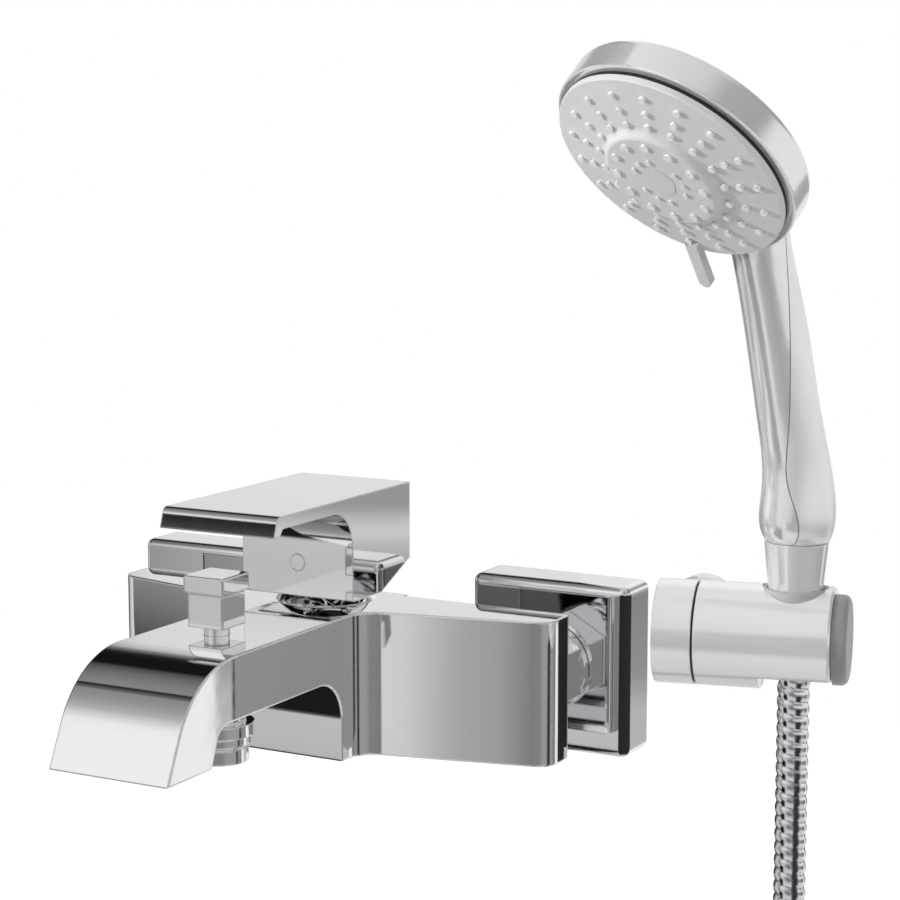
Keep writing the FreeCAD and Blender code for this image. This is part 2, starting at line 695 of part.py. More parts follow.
def cartridge() -> None:
    """Make the ceramic cartridge that the lever works, from its floor up to its collar."""
    frame = moved(WALL, "0", "-lever_axis_out", "0")
    floor = "-cartridge_floor"
    base_top = f"{floor} + base_thickness"
    disc_top = f"{base_top} + disc_thickness"
    moving_top = f"{disc_top} + fit_gap + disc_thickness"

    seals = new_body("port_seal", frame)
    sketch = sketch_on(seals, "XY", floor)
    circle(sketch, "0", "0", "cartridge_radius - 2")
    base = new_body("cartridge_base", frame)
    seat = sketch_on(base, "XY", floor + " + 1")
    circle(seat, "0", "0", "cartridge_radius")
    disc = new_body("fixed_ceramic_disc", frame)
    plate = sketch_on(disc, "XY", base_top)
    circle(plate, "0", "0", "cartridge_radius - cartridge_wall - running_gap")
    for across, along in (("port_spacing", "2.5"), ("-port_spacing", "2.5"), ("0", "-port_spacing")):
        circle(sketch, across, along, "port_radius")
        circle(seat, across, along, "port_radius - 0.4")
        circle(plate, across, along, "port_radius - 0.6")
    extrude(seals, "Pad", sketch, "1", "up")
    extrude(base, "Pad", seat, "base_thickness - 1", "up")
    extrude(disc, "Pad", plate, "disc_thickness", "up")

    moving = turned("moving_ceramic_disc", "Z", rod(
        f"{disc_top} + fit_gap", moving_top, "moving_disc_radius"), frame)
    drill(moving, "XY", f"{disc_top} + fit_gap + 1", ("0", "0"), "finger_radius + 0.6",
          "disc_thickness", "up")

    turned("cartridge_housing", "Z", sleeve(
        base_top, "housing_top", "cartridge_radius", "cartridge_radius - cartridge_wall"), frame)

    carrier = turned("spindle_carrier", "Z", rod(
        f"{moving_top} + running_gap", "housing_top - 0.4",
        "cartridge_radius - cartridge_wall - running_gap"), frame)
    slab(carrier, "Pocket", "XY", f"{moving_top} - 1", rectangle(
        "-carrier_slot / 2", "-8.6", "carrier_slot / 2", "9.4"), "housing_top - cartridge_floor + 40", "up")
    post(carrier, "YZ", "0", ("0", "lever_pivot_up"), "pivot_pin_radius", "carrier_slot + 2", "both")

    spindle = new_body("lever_spindle", frame)
    half = "spindle_side / 2"
    slab(spindle, "Pad", "XY", "lever_pivot_up - 5", rectangle(f"-{half}", f"-{half}", half, half),
         "spindle_top - lever_pivot_up + 5", "up")
    post(spindle, "XY", "lever_pivot_up - 4", ("0", "0"), "finger_radius",
         f"lever_pivot_up - 4 - ({disc_top} + fit_gap + 1.6)", "down")
    drill(spindle, "YZ", "0", ("0", "lever_pivot_up"), "pivot_pin_radius + fit_gap",
          "spindle_side + 4", "both")

    turned("cartridge_nut", "Z", sleeve(
        "housing_top", "retaining_nut_top", "cartridge_radius - fit_gap", "collar_mouth"), frame)
    collar = new_body("cartridge_collar", frame)
    ball = sketch_on(collar, "XZ")
    reach, wall = "(body_top - lever_pivot_up)", "collar_wall"
    low_out, low_in = f"sqrt(collar_radius ^ 2 - {reach} ^ 2)", f"sqrt((collar_radius - {wall}) ^ 2 - {reach} ^ 2)"
    rise = "sqrt(collar_radius ^ 2 - collar_mouth ^ 2)"
    rise_in = f"sqrt((collar_radius - {wall}) ^ 2 - collar_mouth ^ 2)"
    collar_ring(ball, low_out, low_in, rise, rise_in)
    feature = collar.newObject("PartDesign::Revolution", "revolution")
    feature.Profile = ball
    feature.ReferenceAxis = (ball, ["V_Axis"])
    feature.Angle = 360.0
    collar.Tip = feature


def collar_ring(sketch, low_out: str, low_in: str, rise: str, rise_in: str) -> None:
    """Draw the collar's section: two arcs about the lever's pivot, closed at foot and mouth."""
    centre = Vector(0, number("lever_pivot_up"), 0)
    foot = number("body_top")
    ends = [
        Vector(number(low_out), foot, 0), Vector(number("collar_mouth"), centre.y + number(rise), 0),
        Vector(number("collar_mouth"), centre.y + number(rise_in), 0), Vector(number(low_in), foot, 0),
    ]

    def arc(radius: float, first: Vector, last: Vector) -> int:
        """Add the short arc between two points of a circle about the pivot."""
        low = math.atan2(first.y - centre.y, first.x)
        high = math.atan2(last.y - centre.y, last.x)
        ring = Part.Circle(centre, Vector(0, 0, 1), radius)
        return sketch.addGeometry(Part.ArcOfCircle(ring, low, high), False)
    outer = arc(number("collar_radius"), ends[0], ends[1])
    mouth = sketch.addGeometry(Part.LineSegment(ends[1], ends[2]), False)
    inner = arc(number("collar_radius - collar_wall"), ends[3], ends[2])
    seat = sketch.addGeometry(Part.LineSegment(ends[3], ends[0]), False)
    rules = Rules(sketch)
    for first, first_end, second, second_end in (
            (outer, 2, mouth, 1), (mouth, 2, inner, 2), (inner, 1, seat, 1), (seat, 2, outer, 1)):
        rules.add("Coincident", first, first_end, second, second_end)
    for ring, radius in ((outer, "collar_radius"), (inner, "collar_radius - collar_wall")):
        rules.hold(ring, 3, "0", "lever_pivot_up")
        rules.measure("Radius", (ring,), radius)
    rules.add("Vertical", mouth)
    rules.add("Horizontal", seat)
    rules.measure("DistanceX", (-1, 1, mouth, 1), "collar_mouth")
    rules.measure("DistanceY", (-1, 1, seat, 1), "body_top")
    rules.settle()


def lever() -> None:
    """Make the lever: a flat plate with a turned-down lip, an arched gap and a hollow hub."""
    body = new_body("lever")
    under = "lever_top - lever_plate"
    side = sketch_on(body, "YZ")
    outline(side, [
        ("-lever_back", "lever_top"), ("-lever_front", "lever_top", "lever_nose_radius"),
        ("-(lever_front + lever_lip_slant)", "lever_lip_bottom"),
        ("-(lever_front + lever_lip_slant - lever_lip_thickness)", "lever_lip_bottom"),
        ("-(lever_front - lever_lip_thickness + 0.4)", under, "1.6"),
        ("-hub_front", under, "hub_arch_radius"), ("-hub_front", "hub_bottom"),
        ("-hub_heel", "hub_bottom"), ("-lever_back", "hub_bottom + hub_heel_rise"),
    ])
    extrude(body, "Pad", side, "lever_width", "both")
    inside = "lever_width / 2 - hub_wall"
    slab(body, "Pocket", "XY", "hub_bottom - 1", rectangle(
        f"-({inside})", "-(hub_front - hub_wall)", inside, "-(lever_back + hub_wall)", "2",
    ), "hub_cavity_top - hub_bottom + 1", "up")
    socket = "(spindle_side / 2 + fit_gap)"
    slab(body, "Pocket", "XY", "hub_cavity_top - 1", rectangle(
        f"-({socket})", f"-(lever_axis_out + {socket})", socket, f"-(lever_axis_out - {socket})",
    ), "spindle_top - hub_cavity_top + 1.4", "up")
    drill(body, "XZ", "hub_front + 1", ("0", "lever_screw_up"), "screw_cap_radius", "screw_cap_length + 1",
          "down")
    drill(body, "XZ", "hub_front + 1", ("0", "lever_screw_up"), "lever_screw_radius",
          "hub_front - lever_axis_out + 1", "down")

    frame = moved(WALL, "0", "0", "lever_screw_up")
    turned("lever_set_screw", "Y", rod(
        "-(lever_axis_out + spindle_side / 2 + 0.1)", "-(lever_axis_out + spindle_side / 2 + 9)",
        "lever_screw_radius - fit_gap"), frame)
    turned("screw_cap", "Y", rod(
        "-(hub_front - screw_cap_length)", "-(hub_front + 0.1)", "screw_cap_radius - fit_gap"), frame)


def diverter() -> None:
    """Make the lift diverter: knob, rod, bonnet, seals, valve disc and outlet."""
    frame = moved(WALL, "0", "-diverter_out", "0")
    knob_bottom = "body_top + knob_gap"
    step_level = f"{knob_bottom} + knob_block_height"
    knob = new_body("diverter_knob", frame)
    block, cap, neck = "knob_block_side / 2", "knob_cap_side / 2", "knob_block_side / 2 - knob_step"
    slab(knob, "Pad", "XY", knob_bottom, rectangle(f"-({block})", f"-({block})", block, block, "0.8"),
         "knob_block_height - 0.6", "up")
    slab(knob, "Pad", "XY", f"{step_level} - 0.7", rectangle(f"-({neck})", f"-({neck})", neck, neck),
         "0.8", "up")
    slab(knob, "Pad", "XY", step_level, rectangle(f"-({cap})", f"-({cap})", cap, cap, "0.8"),
         "knob_cap_height", "up")
    height = size("body_top") + size("knob_gap") + size("knob_block_height") + size("knob_cap_height")
    soften(knob, "0.5", lambda edge: abs(edge.BoundBox.ZMin - height) < 0.01)
    drill(knob, "XY", knob_bottom + " - 1", ("0", "0"), "diverter_rod_radius - 1.4 + fit_gap",
          "knob_block_height", "up")

    ceiling, floor = "body_top - spout_wall", "spout_underside + spout_floor"
    valve_low = f"{floor} + valve_seal_thickness + 0.2"
    valve_high = f"{valve_low} + valve_thickness"
    turned("diverter_rod", "Z", [
        (valve_low, "0"), (f"{knob_bottom} + knob_block_height - 2", "0"),
        (f"{knob_bottom} + knob_block_height - 2", "diverter_rod_radius - 1.4"),
        (knob_bottom, "diverter_rod_radius - 1.4"), (knob_bottom, "diverter_rod_radius"),
        (valve_high, "diverter_rod_radius"), (valve_high, "diverter_rod_radius - 1.6"),
        (valve_low, "diverter_rod_radius - 1.6"),
    ], frame)
    turned("diverter_valve_disc", "Z", sleeve(
        valve_low, valve_high, "valve_radius", "diverter_rod_radius - 1.6 + fit_gap"), frame)
    turned("diverter_seal", "Z", sleeve(
        f"{floor} + 0.2", valve_low, "valve_radius - 0.6", "outlet_bore_radius - 2"), frame)
    turned("diverter_bonnet", "Z", sleeve(
        f"{ceiling} - bonnet_drop", ceiling, "bonnet_radius", "diverter_rod_radius + fit_gap"), frame)
    bonnet_bottom = f"{ceiling} - bonnet_drop"
    turned("diverter_rod_seal", "Z", sleeve(
        f"{bonnet_bottom} - rod_seal_height", bonnet_bottom,
        "diverter_rod_radius + fit_gap + rod_seal_wall", "diverter_rod_radius + fit_gap"), frame)

    turned("shower_outlet", "Z", [
        ("-outlet_bottom", "outlet_bore_radius"), ("spout_underside", "outlet_bore_radius"),
        ("spout_underside", "outlet_neck_radius"), ("-outlet_shank_bottom", "outlet_neck_radius"),
        ("-outlet_shank_bottom", "outlet_flange_radius"), ("-outlet_flange_bottom", "outlet_flange_radius"),
        ("-outlet_flange_bottom", "outlet_step_radius"), ("-outlet_step_bottom", "outlet_step_radius"),
        ("-outlet_step_bottom", "outlet_neck_radius"), ("-outlet_groove_bottom", "outlet_neck_radius"),
        ("-outlet_groove_bottom", "half_inch_thread / 2"), ("-outlet_bottom", "half_inch_thread / 2"),
    ], frame)


def bracket() -> None:
    """Make the wall bracket: wall disc, post with its fixed barrel, swivel barrel and liner."""
    middle = "-(seam_left + seam_width + fixed_barrel_length / 2)"
    left = "-(seam_left + seam_width + fixed_barrel_length)"
    across = f"(({middle}) * cos(barrel_yaw) - knuckle_back * sin(barrel_yaw))"
    post_frame = moved(WALL, f"holder_x + {across}", "0", "holder_up")
    depth = f"(holder_out - ({middle}) * sin(barrel_yaw) - knuckle_back * cos(barrel_yaw))"

    disc = turned("wall_disc", "Y", sleeve(
        "-wall_disc_thickness", "0", "wall_disc_radius", "wall_screw_radius + 0.2"), post_frame)
    drill(disc, "XZ", "wall_disc_thickness + 1", ("0", "0"), "wall_screw_head_radius + 0.2", "3.4", "down")
    turned("wall_screw", "Y", [
        ("wall_screw_length - wall_disc_thickness", "0"), ("-(wall_disc_thickness - 0.3)", "0"),
        ("-(wall_disc_thickness - 0.3)", "wall_screw_head_radius"),
        ("-(wall_disc_thickness - 2.2)", "wall_screw_head_radius"),
        ("-(wall_disc_thickness - 2.2)", "wall_screw_radius - 0.3"),
        ("thread_relief", "wall_screw_radius - 0.3"), ("thread_relief", "wall_screw_radius"),
        ("wall_screw_length - wall_disc_thickness", "wall_screw_radius"),
    ], post_frame)

    arm = new_body("bracket_arm", post_frame)
    turn(arm, "Revolution", "Y", [
        (f"-{depth}", "0"), ("-(wall_disc_thickness + 1)", "0"),
        ("-(wall_disc_thickness + 1)", "wall_disc_radius + fit_gap"),
        ("-0.2", "wall_disc_radius + fit_gap"), ("-0.2", "rosette_radius"),
        ("-rosette_depth", "rosette_radius", "2"), ("-(rosette_depth + 4)", "post_radius", "3"),
        (f"-{depth}", "post_radius"),
    ])
    knuckle = document.addObject("Part::Sphere", "knuckle")
    bind(knuckle, Radius="post_radius", Placement=moved(post_frame, "0", f"-{depth}", "0"))
    neck = document.addObject("Part::Cylinder", "neck")
    bind(neck, Radius="neck_radius", Height="knuckle_back",
         Placement=moved(HOLDER, middle, "0", "0", "rotationx(-90)"))
    barrel = document.addObject("Part::Cylinder", "fixed_barrel")
    bind(barrel, Radius="barrel_radius", Height="fixed_barrel_length",
         Placement=moved(HOLDER, left, "0", "0", "rotationy(90)"))
    spigot = document.addObject("Part::Cylinder", "spigot")
    bind(spigot, Radius="spigot_radius", Height="fixed_barrel_length / 2 + spigot_length + seam_width",
         Placement=moved(HOLDER, middle, "0", "0", "rotationy(90)"))
    joined = document.addObject("Part::MultiFuse", "bracket_solid")
    joined.Shapes = [arm, knuckle, neck, barrel, spigot]
    grub_hole = document.addObject("Part::Cylinder", "grub_hole")
    bind(grub_hole, Radius="grub_radius + fit_gap", Height="rosette_radius - wall_disc_radius + 2",
         Placement=moved(post_frame, "0", "-3.2", "-rosette_radius - 1"))
    bolt_hole = document.addObject("Part::Cylinder", "bolt_hole")
    bind(bolt_hole, Radius="pivot_bolt_radius + fit_gap", Height="spigot_length + seam_width + 6",
         Placement=moved(HOLDER, "-(seam_left + seam_width + 5)", "0", "0", "rotationy(90)"))
    holes = document.addObject("Part::MultiFuse", "bracket_holes")
    holes.Shapes = [grub_hole, bolt_hole]
    finished = document.addObject("Part::Cut", "bracket_finished")
    finished.Base = joined
    finished.Tool = holes
    pieces.remove(arm)
    arm.Label = "bracket_arm_post"
    publish(finished, "bracket_arm")
    turned("grub_screw", "Z", rod(
        "-(wall_disc_radius + 0.1 + 3)", "-(wall_disc_radius + 0.1)", "grub_radius"),
        moved(post_frame, "0", "-3.2", "0"))

    turned("friction_washer", "X", sleeve(
        "-(seam_left + seam_width - 0.1)", "-(seam_left + 0.1)", "barrel_radius - 0.7",
        "spigot_radius + running_gap"), HOLDER)

    swivel = new_body("holder_barrel", HOLDER)
    turn(swivel, "Revolution", "X", [
        ("-seam_left", "spigot_radius + 0.08"), ("-(seam_left - spigot_length - 0.3)", "spigot_radius + 0.08"),
        ("-(seam_left - spigot_length - 0.3)", "pivot_bolt_radius + 0.3"),
        ("-(seam_left - spigot_length - 2.3)", "pivot_bolt_radius + 0.3"),
        ("-(seam_left - spigot_length - 2.3)", "0"), ("barrel_right", "0"),
        ("barrel_right", "barrel_radius - barrel_edge"), ("barrel_right - barrel_edge", "barrel_radius"),
        ("-seam_left", "barrel_radius"),
    ])
    slab(swivel, "Pocket", "XZ", "0", rectangle(
        "-barrel_cut_left", "-barrel_radius - 1", "barrel_right + 1", "-barrel_cut_up",
    ), "barrel_radius * 2 + 2", "both")
    seat = "nut_waist_radius + holder_wall + running_gap"
    drill(swivel, "XY", "-barrel_radius - 1", ("0", "0"), seat, "barrel_radius * 2 + 2", "up")
    drill(swivel, "YZ", "-(seam_left - spigot_length - 2)", ("0", "0"), "pivot_bolt_head_radius + 0.3",
          "seam_left - spigot_length", "up")
    drill(swivel, "YZ", "barrel_right - end_cap_plug_length - 0.4", ("0", "0"),
          "end_cap_plug_radius + fit_gap", "end_cap_plug_length + 1", "up")

    bolt_face = "-(seam_left - spigot_length - 2.4)"
    turned("pivot_bolt", "X", [
        ("-(seam_left + seam_width + 4.5)", "0"), (f"{bolt_face} + pivot_bolt_head_height", "0"),
        (f"{bolt_face} + pivot_bolt_head_height", "pivot_bolt_head_radius"),
        (bolt_face, "pivot_bolt_head_radius"), (bolt_face, "pivot_bolt_radius"),
        ("-(seam_left + seam_width + 4.5)", "pivot_bolt_radius"),
    ], HOLDER)
    turned("holder_end_cap", "X", [
        ("barrel_right - end_cap_plug_length", "0"), ("barrel_right + end_cap_thickness", "0"),
        ("barrel_right + end_cap_thickness", "end_cap_radius", "end_cap_edge"),
        ("barrel_right + 0.1", "end_cap_radius"), ("barrel_right + 0.1", "end_cap_plug_radius"),
        ("barrel_right - end_cap_plug_length", "end_cap_plug_radius"),
    ], HOLDER)

    liner = new_body("cone_liner", HOLDER)
    turn(liner, "Revolution", "Z", [
        ("-barrel_cut_up", "0"), ("barrel_radius - 0.6", "0"),
        ("barrel_radius - 0.6", f"{seat} - fit_gap"), ("-barrel_cut_up", f"{seat} - fit_gap"),
    ])
    turn(liner, "Groove", "Z", [
        ("-nut_foot - 3", "0"), ("barrel_radius", "0"),
        ("barrel_radius", "nut_waist_radius + running_gap"), ("-nut_foot - 3", "nut_foot_radius + running_gap"),
    ])
    side = "nut_foot_radius + running_gap"
    low = "barrel_radius + 3"
    for piece in (liner, swivel):
        slab(piece, "Pocket", "YZ", "0", [
            (f"-({side})", "0"), (f"-({side} + ({low}) * tan(slot_flare))", f"-({low})"),
            (f"{side} + ({low}) * tan(slot_flare)", f"-({low})"), (side, "0"),
        ], "hose_radius * 2 + 1.6", "both")


def hose_connection() -> None:
    """Make the conical nut that rests in the bracket, and the swivel tail and washer inside it."""
    nut = turned("cone_nut", "Z", [
        ("-nut_foot", "0"), ("nut_top", "0"), ("nut_top", "nut_top_radius"),
        ("nut_waist", "nut_waist_radius"), ("-nut_foot", "nut_foot_radius"),
    ], HANDSET)
    shelf = "(nut_top - handset_thread_length)"
    turn(nut, "Groove", "Z", rod(shelf, "nut_top + 1", "handset_thread / 2 + fit_gap"))
    turn(nut, "Groove", "Z", rod("0", "nut_top", "tail_radius + fit_gap"))
    turn(nut, "Groove", "Z", rod("-nut_foot - 1", "ball_radius * 0.6", "ball_radius + 0.2"))
    turned("swivel_tail", "Z", [
        ("ball_radius * 0.6 + 0.2", "tail_bore"), (f"{shelf} + tail_flange + fit_gap", "tail_bore"),
        (f"{shelf} + tail_flange + fit_gap", "tail_flange_radius"),
        (f"{shelf} + fit_gap", "tail_flange_radius"), (f"{shelf} + fit_gap", "tail_radius"),
        ("ball_radius * 0.6 + 0.2", "tail_radius"),
    ], HANDSET)
    washer_low = f"{shelf} + tail_flange + 2 * fit_gap"
    turned("hose_washer", "Z", sleeve(
        washer_low, f"{washer_low} + 1.5", "tail_flange_radius", "tail_radius"), HANDSET)


def hose() -> None:
    """Make the ribbed hose that hangs from the ball in the nut, with its bore and its ferrule."""
    ball = document.addObject("Part::Sphere", "ball")
    bind(ball, Radius="ball_radius", Angle1="-asin(ball_neck / ball_radius)", Placement=HANGING)
    ball.Angle2 = 17
    stem = document.addObject("Part::Cylinder", "ferrule_stem")
    bind(stem, Radius="hose_bore - fit_gap", Height="ball_neck + 10",
         Placement=moved(HANGING, "0", "0", "-(ball_neck + 10)"))
    joined = document.addObject("Part::Fuse", "ferrule_solid")
    joined.Base, joined.Tool = ball, stem
    bore = document.addObject("Part::Cylinder", "ferrule_bore")
    bind(bore, Radius="tail_bore", Height="ball_neck + 30",
         Placement=moved(HANGING, "0", "0", "-(ball_neck + 15)"))
    ferrule = document.addObject("Part::Cut", "hose_ferrule")
    ferrule.Base, ferrule.Tool = joined, bore
    publish(ferrule, "hose_ferrule")

    top, bottom = -size("ball_neck"), -size("hose_drop")
    root, crest = size("hose_radius") - size("hose_rib_depth"), size("hose_radius")
    plain = size("hose_radius") / 2
    count = round((top - bottom - 2 * plain) / size("hose_rib_pitch"))
    pitch = (top - bottom - 2 * plain) / count
    stations = [(top, crest), (top - plain, crest)]
    for rib in range(count):
        start = top - plain - rib * pitch
        stations += [(start - share * pitch, radius) for share, radius in (
            (0.12, root), (0.30, root), (0.46, crest), (0.96, crest))]
    stations.append((bottom, crest))
    rings = [Part.Wire(Part.Circle(Vector(0, 0, height), Vector(0, 0, 1), radius).toShape())
             for height, radius in stations]
    outside = Part.makeLoft(rings, True, True)
    core = Part.makeCylinder(size("hose_bore"), top - bottom, Vector(0, 0, bottom))
    tube = document.addObject("Part::Feature", "hose")
    tube.Shape = outside.cut(core)
    bind(tube, Placement=HANGING)
    publish(tube, "hose")
    print("hose: ribs", count, "pitch", round(pitch, 2), "length", round(top - bottom, 1))


def biarc(start: Vector, leave: Vector, end: Vector, arrive: Vector) -> list:
    """Return two arcs that join two points and keep to a direction at each."""
    span = end - start
    both = leave + arrive
    across = span.dot(both)
    room = 2 * (1 - leave.dot(arrive))
    if abs(room) < 1e-9:
        reach = span.dot(span) / (4 * span.dot(arrive))
    else:
        reach = (-across + math.sqrt(across ** 2 + room * span.dot(span))) / room
    middle = (start + end + (leave - arrive) * reach) * 0.5
    arcs = []
    for point, way, other in ((start, leave, middle), (end, arrive * -1, middle)):
        chord = other - point
        normal = (chord - way * chord.dot(way)).normalize()
        radius = chord.dot(chord) / (2 * chord.dot(normal))
        centre = point + normal * radius
        halfway = ((point - centre) + (other - centre)).normalize() * radius + centre
        ends = (point, halfway, other) if point is start else (other, halfway, point)
        arcs.append((Part.Arc(*ends).toShape(), radius))
    return arcs


COIL_IN = 1.25
COIL_CLIMB = 0.5
COIL_OUT = 1.75


def coil_place(turns: float) -> Vector:
    """Return the coil's centre line after a number of turns, in the hanging hose's frame."""
    reverse = size("coil_radius") - COIL_IN * size("coil_step")
    climb = min(max((turns - COIL_IN) / COIL_CLIMB, 0.0), 1.0)
    if turns < COIL_IN:
        radius = size("coil_radius") - turns * size("coil_step")
    else:
        radius = reverse + max(turns - COIL_IN - COIL_CLIMB, 0.0) * size("coil_step")
        radius -= size("coil_dip") * math.sin(math.pi * climb)
    angle = -2 * math.pi * turns
    return Vector(
        -size("coil_radius") + radius * math.cos(angle), -climb * size("coil_step"),
        -size("hose_drop") + radius * math.sin(angle))


def coil() -> None:
    """Make the put-away length: one tube that spirals in, climbs a layer and spirals out again."""
    total = COIL_IN + COIL_CLIMB + COIL_OUT
    quarters = round(total * 4)
    stations = []
    for quarter in range(quarters + 1):
        turns = quarter / 4
        step = 1e-4
        way = (coil_place(turns + step) - coil_place(turns - step)).normalize()
        if quarter in (0, quarters):
            way = Vector(0, 0, -1 if quarter == 0 else 1)
        elif quarter in (round(COIL_IN * 4), round((COIL_IN + COIL_CLIMB) * 4)):
            way = Vector(way.x, 0, way.z).normalize()
        stations.append((coil_place(turns), way))
    edges, radii = [], []
    for (start, leave), (end, arrive) in zip(stations, stations[1:]):
        for edge, radius in biarc(start, leave, end, arrive):
            edges.append(edge)
            radii.append(radius)
    tail = stations[-1][0] + Vector(0, 0, size("coil_tail"))
    edges.append(Part.LineSegment(stations[-1][0], tail).toShape())
    path = Part.Wire(edges)
    start = stations[0][0]
    tubes = []
    for radius in (size("hose_radius"), size("hose_bore")):
        profile = Part.Wire(Part.Circle(start, Vector(0, 0, -1), radius).toShape())
        shell = Part.BRepOffsetAPI.MakePipeShell(path)
        shell.add(profile)
        shell.build()
        shell.makeSolid()
        tubes.append(shell.shape())
    outer, inner = tubes
    winding = document.addObject("Part::Feature", "hose_coil")
    winding.Shape = outer.cut(inner)
    bind(winding, Placement=HANGING)
    publish(winding, "hose_coil")
    length = path.Length
    area = math.pi * (size("hose_radius") ** 2 - size("hose_bore") ** 2)
    print("coil: tightest radius", round(min(radii), 1), "widest", round(max(radii), 1),
          "length", round(length, 1), "volume ratio", round(winding.Shape.Volume / (area * length), 4))
    points = path.discretize(Distance=4.0)
    clear = min(
        (points[one] - points[two]).Length - 2 * size("hose_radius")
        for one in range(len(points)) for two in range(one + 12, len(points)))
    print("coil: least gap to itself", round(clear, 2))
    print("hose: whole length", round(length + size("hose_drop") - size("ball_neck"), 1))


def coil_fittings() -> None:
    """Make the strap round the coil, and the nut, ferrule and washer on the hose's free end."""
    wide = "(coil_step / 2 + hose_radius + 0.4)"
    middle = moved(HANGING, "-coil_step / 2", "-coil_step / 2", "-hose_drop")
    strap = new_body("hose_tie", middle)
    sketch = sketch_on(strap, "XY", "-tie_width / 2")
    outline(sketch, rectangle(f"-({wide} + tie_wall)", f"-({wide} + tie_wall)", f"{wide} + tie_wall",
                              f"{wide} + tie_wall", "hose_radius"))
    outline(sketch, rectangle(f"-{wide}", f"-{wide}", wide, wide, "hose_radius - tie_wall"))
    extrude(strap, "Pad", sketch, "tie_width", "up")

    last = coil_place(COIL_IN + COIL_CLIMB + COIL_OUT)
    turns_in, turns_out = str(COIL_IN), str(COIL_OUT)
    reach = f"(2 * coil_radius - ({turns_in} - {turns_out}) * coil_step)"
    end = moved(HANGING, f"-{reach}", "-coil_step", "-hose_drop + coil_tail")
    assert abs(last.x + number(reach)) < 1e-6
    nut = new_body("hose_end_nut", end)
    sketch = sketch_on(nut, "XY", "-end_nut_lip - 2 * fit_gap")
    outline(sketch, hexagon("end_nut_flats"))
    extrude(nut, "Pad", sketch, "end_nut_length", "up")
    drill(nut, "XY", "-2 * fit_gap", ("0", "0"), "end_nut_bore / 2", "end_nut_length", "up")
    drill(nut, "XY", "-end_nut_lip - 1", ("0", "0"), "hose_radius + running_gap", "end_nut_lip + 2", "up")
    turned("hose_end_ferrule", "Z", [
        ("-12", "tail_bore"), ("2", "tail_bore"), ("2", "end_nut_bore / 2 - 0.4"),
        ("0", "end_nut_bore / 2 - 0.4"), ("0", "hose_bore - fit_gap"), ("-12", "hose_bore - fit_gap"),
    ], end)
    turned("hose_end_washer", "Z", sleeve(
        "2", "4", "end_nut_bore / 2 - 0.3", "tail_bore + 1"), end)


# The handle's sections from its foot to the head: name of the section and how it leans forward
HANDLE_SECTIONS = ["foot", "shoulder", "belly", "grip", "middle", "slim", "throat", "nape", "crown", "inner"]


def handle_loft(name: str, less: str, sections: list):
    """Loft the handle through its round sections, each made thinner by a wall."""
    rings = []
    for section in sections:
        ring = document.addObject("Part::Circle", f"{name}_{section}")
        bind(ring, Radius=less if less == "waterway_radius" or less == "waterway_bore"
             else f"{section}_radius - {less}",
             Placement=moved(HANDSET, "0", f"-{section}_forward", f"{section}_up",
                             f"rotationx({section}_lean)"))
        rings.append(ring)
    body = document.addObject("Part::Loft", name)
    body.Sections = rings
    body.Solid = True
    body.Ruled = False
    return body


def boolean(kind: str, name: str, base, *tools):
    """Combine solids: a cut or a common of two, or a fuse of several."""
    if kind == "Fuse":
        result = document.addObject("Part::MultiFuse", name)
        result.Shapes = [base, *tools]
        return result
    result = document.addObject("Part::" + kind, name)
    result.Base, result.Tool = base, tools[0]
    return result


def handset() -> None:
    """Make the hand shower's handle: two half shells, and the waterway inside them."""
    grip = handle_loft("handle_outside", "0", HANDLE_SECTIONS)
    hollow = handle_loft("handle_inside", "handle_wall", HANDLE_SECTIONS)
    head = turned("head_envelope", "Z", [
        ("-housing_front", "0"), ("-housing_front", "rim_radius"), ("-rim_thickness", "rim_radius", "rim_round"),
        ("-dome_thickness", "dome_radius", "dome_round"), ("-crown_thickness", "crown_reach", "dome_round"),
        ("-crown_thickness", "0"),
    ], HEAD)
    pieces.remove(head)
    shell = boolean("Cut", "handle_shell", grip, hollow)
    shell = boolean("Cut", "handle_beside_head", shell, head)
    halves = (("handset_front", "-200 - split_gap / 2"), ("handset_back", "split_gap / 2"))
    for node, start in halves:
        block = document.addObject("Part::Box", node + "_side")
        bind(block, Length="120", Width="200", Height="260", Placement=moved(
            HANDSET, "-60", "-split_foot", "foot_up", "rotationx(split_lean)")
            + f" * placement(vector(0; {start}; -30); rotationz(0))")
        half = boolean("Common", node, shell, block)
        publish(half, node)

    line = HANDLE_SECTIONS[1:-1]
    tube = handle_loft("waterway_outside", "waterway_radius", ["foot"] + line)
    bore = handle_loft("waterway_inside", "waterway_bore", ["foot"] + line)
    spigot = document.addObject("Part::Cylinder", "handset_thread")
    low = "(nut_top - handset_thread_length + tail_flange + 2 * fit_gap + 1.5)"
    bind(spigot, Radius="handset_thread / 2", Height=f"foot_up - {low} + 1",
         Placement=moved(HANDSET, "0", "0", low))
    collar = document.addObject("Part::Cylinder", "waterway_collar")
    bind(collar, Radius="shoulder_radius - handle_wall - fit_gap", Height="3",
         Placement=moved(HANDSET, "0", "0", "shoulder_up + 1"))
    through = document.addObject("Part::Cylinder", "waterway_entry")
    bind(through, Radius="waterway_bore", Height=f"foot_up - {low} + 3",
         Placement=moved(HANDSET, "0", "0", f"{low} - 1"))
    solid = boolean("Fuse", "waterway_solid", tube, spigot, collar)
    empty = boolean("Fuse", "waterway_empty", bore, through)
    publish(boolean("Cut", "handset_waterway", solid, empty), "handset_waterway")
    shower_head(tube)


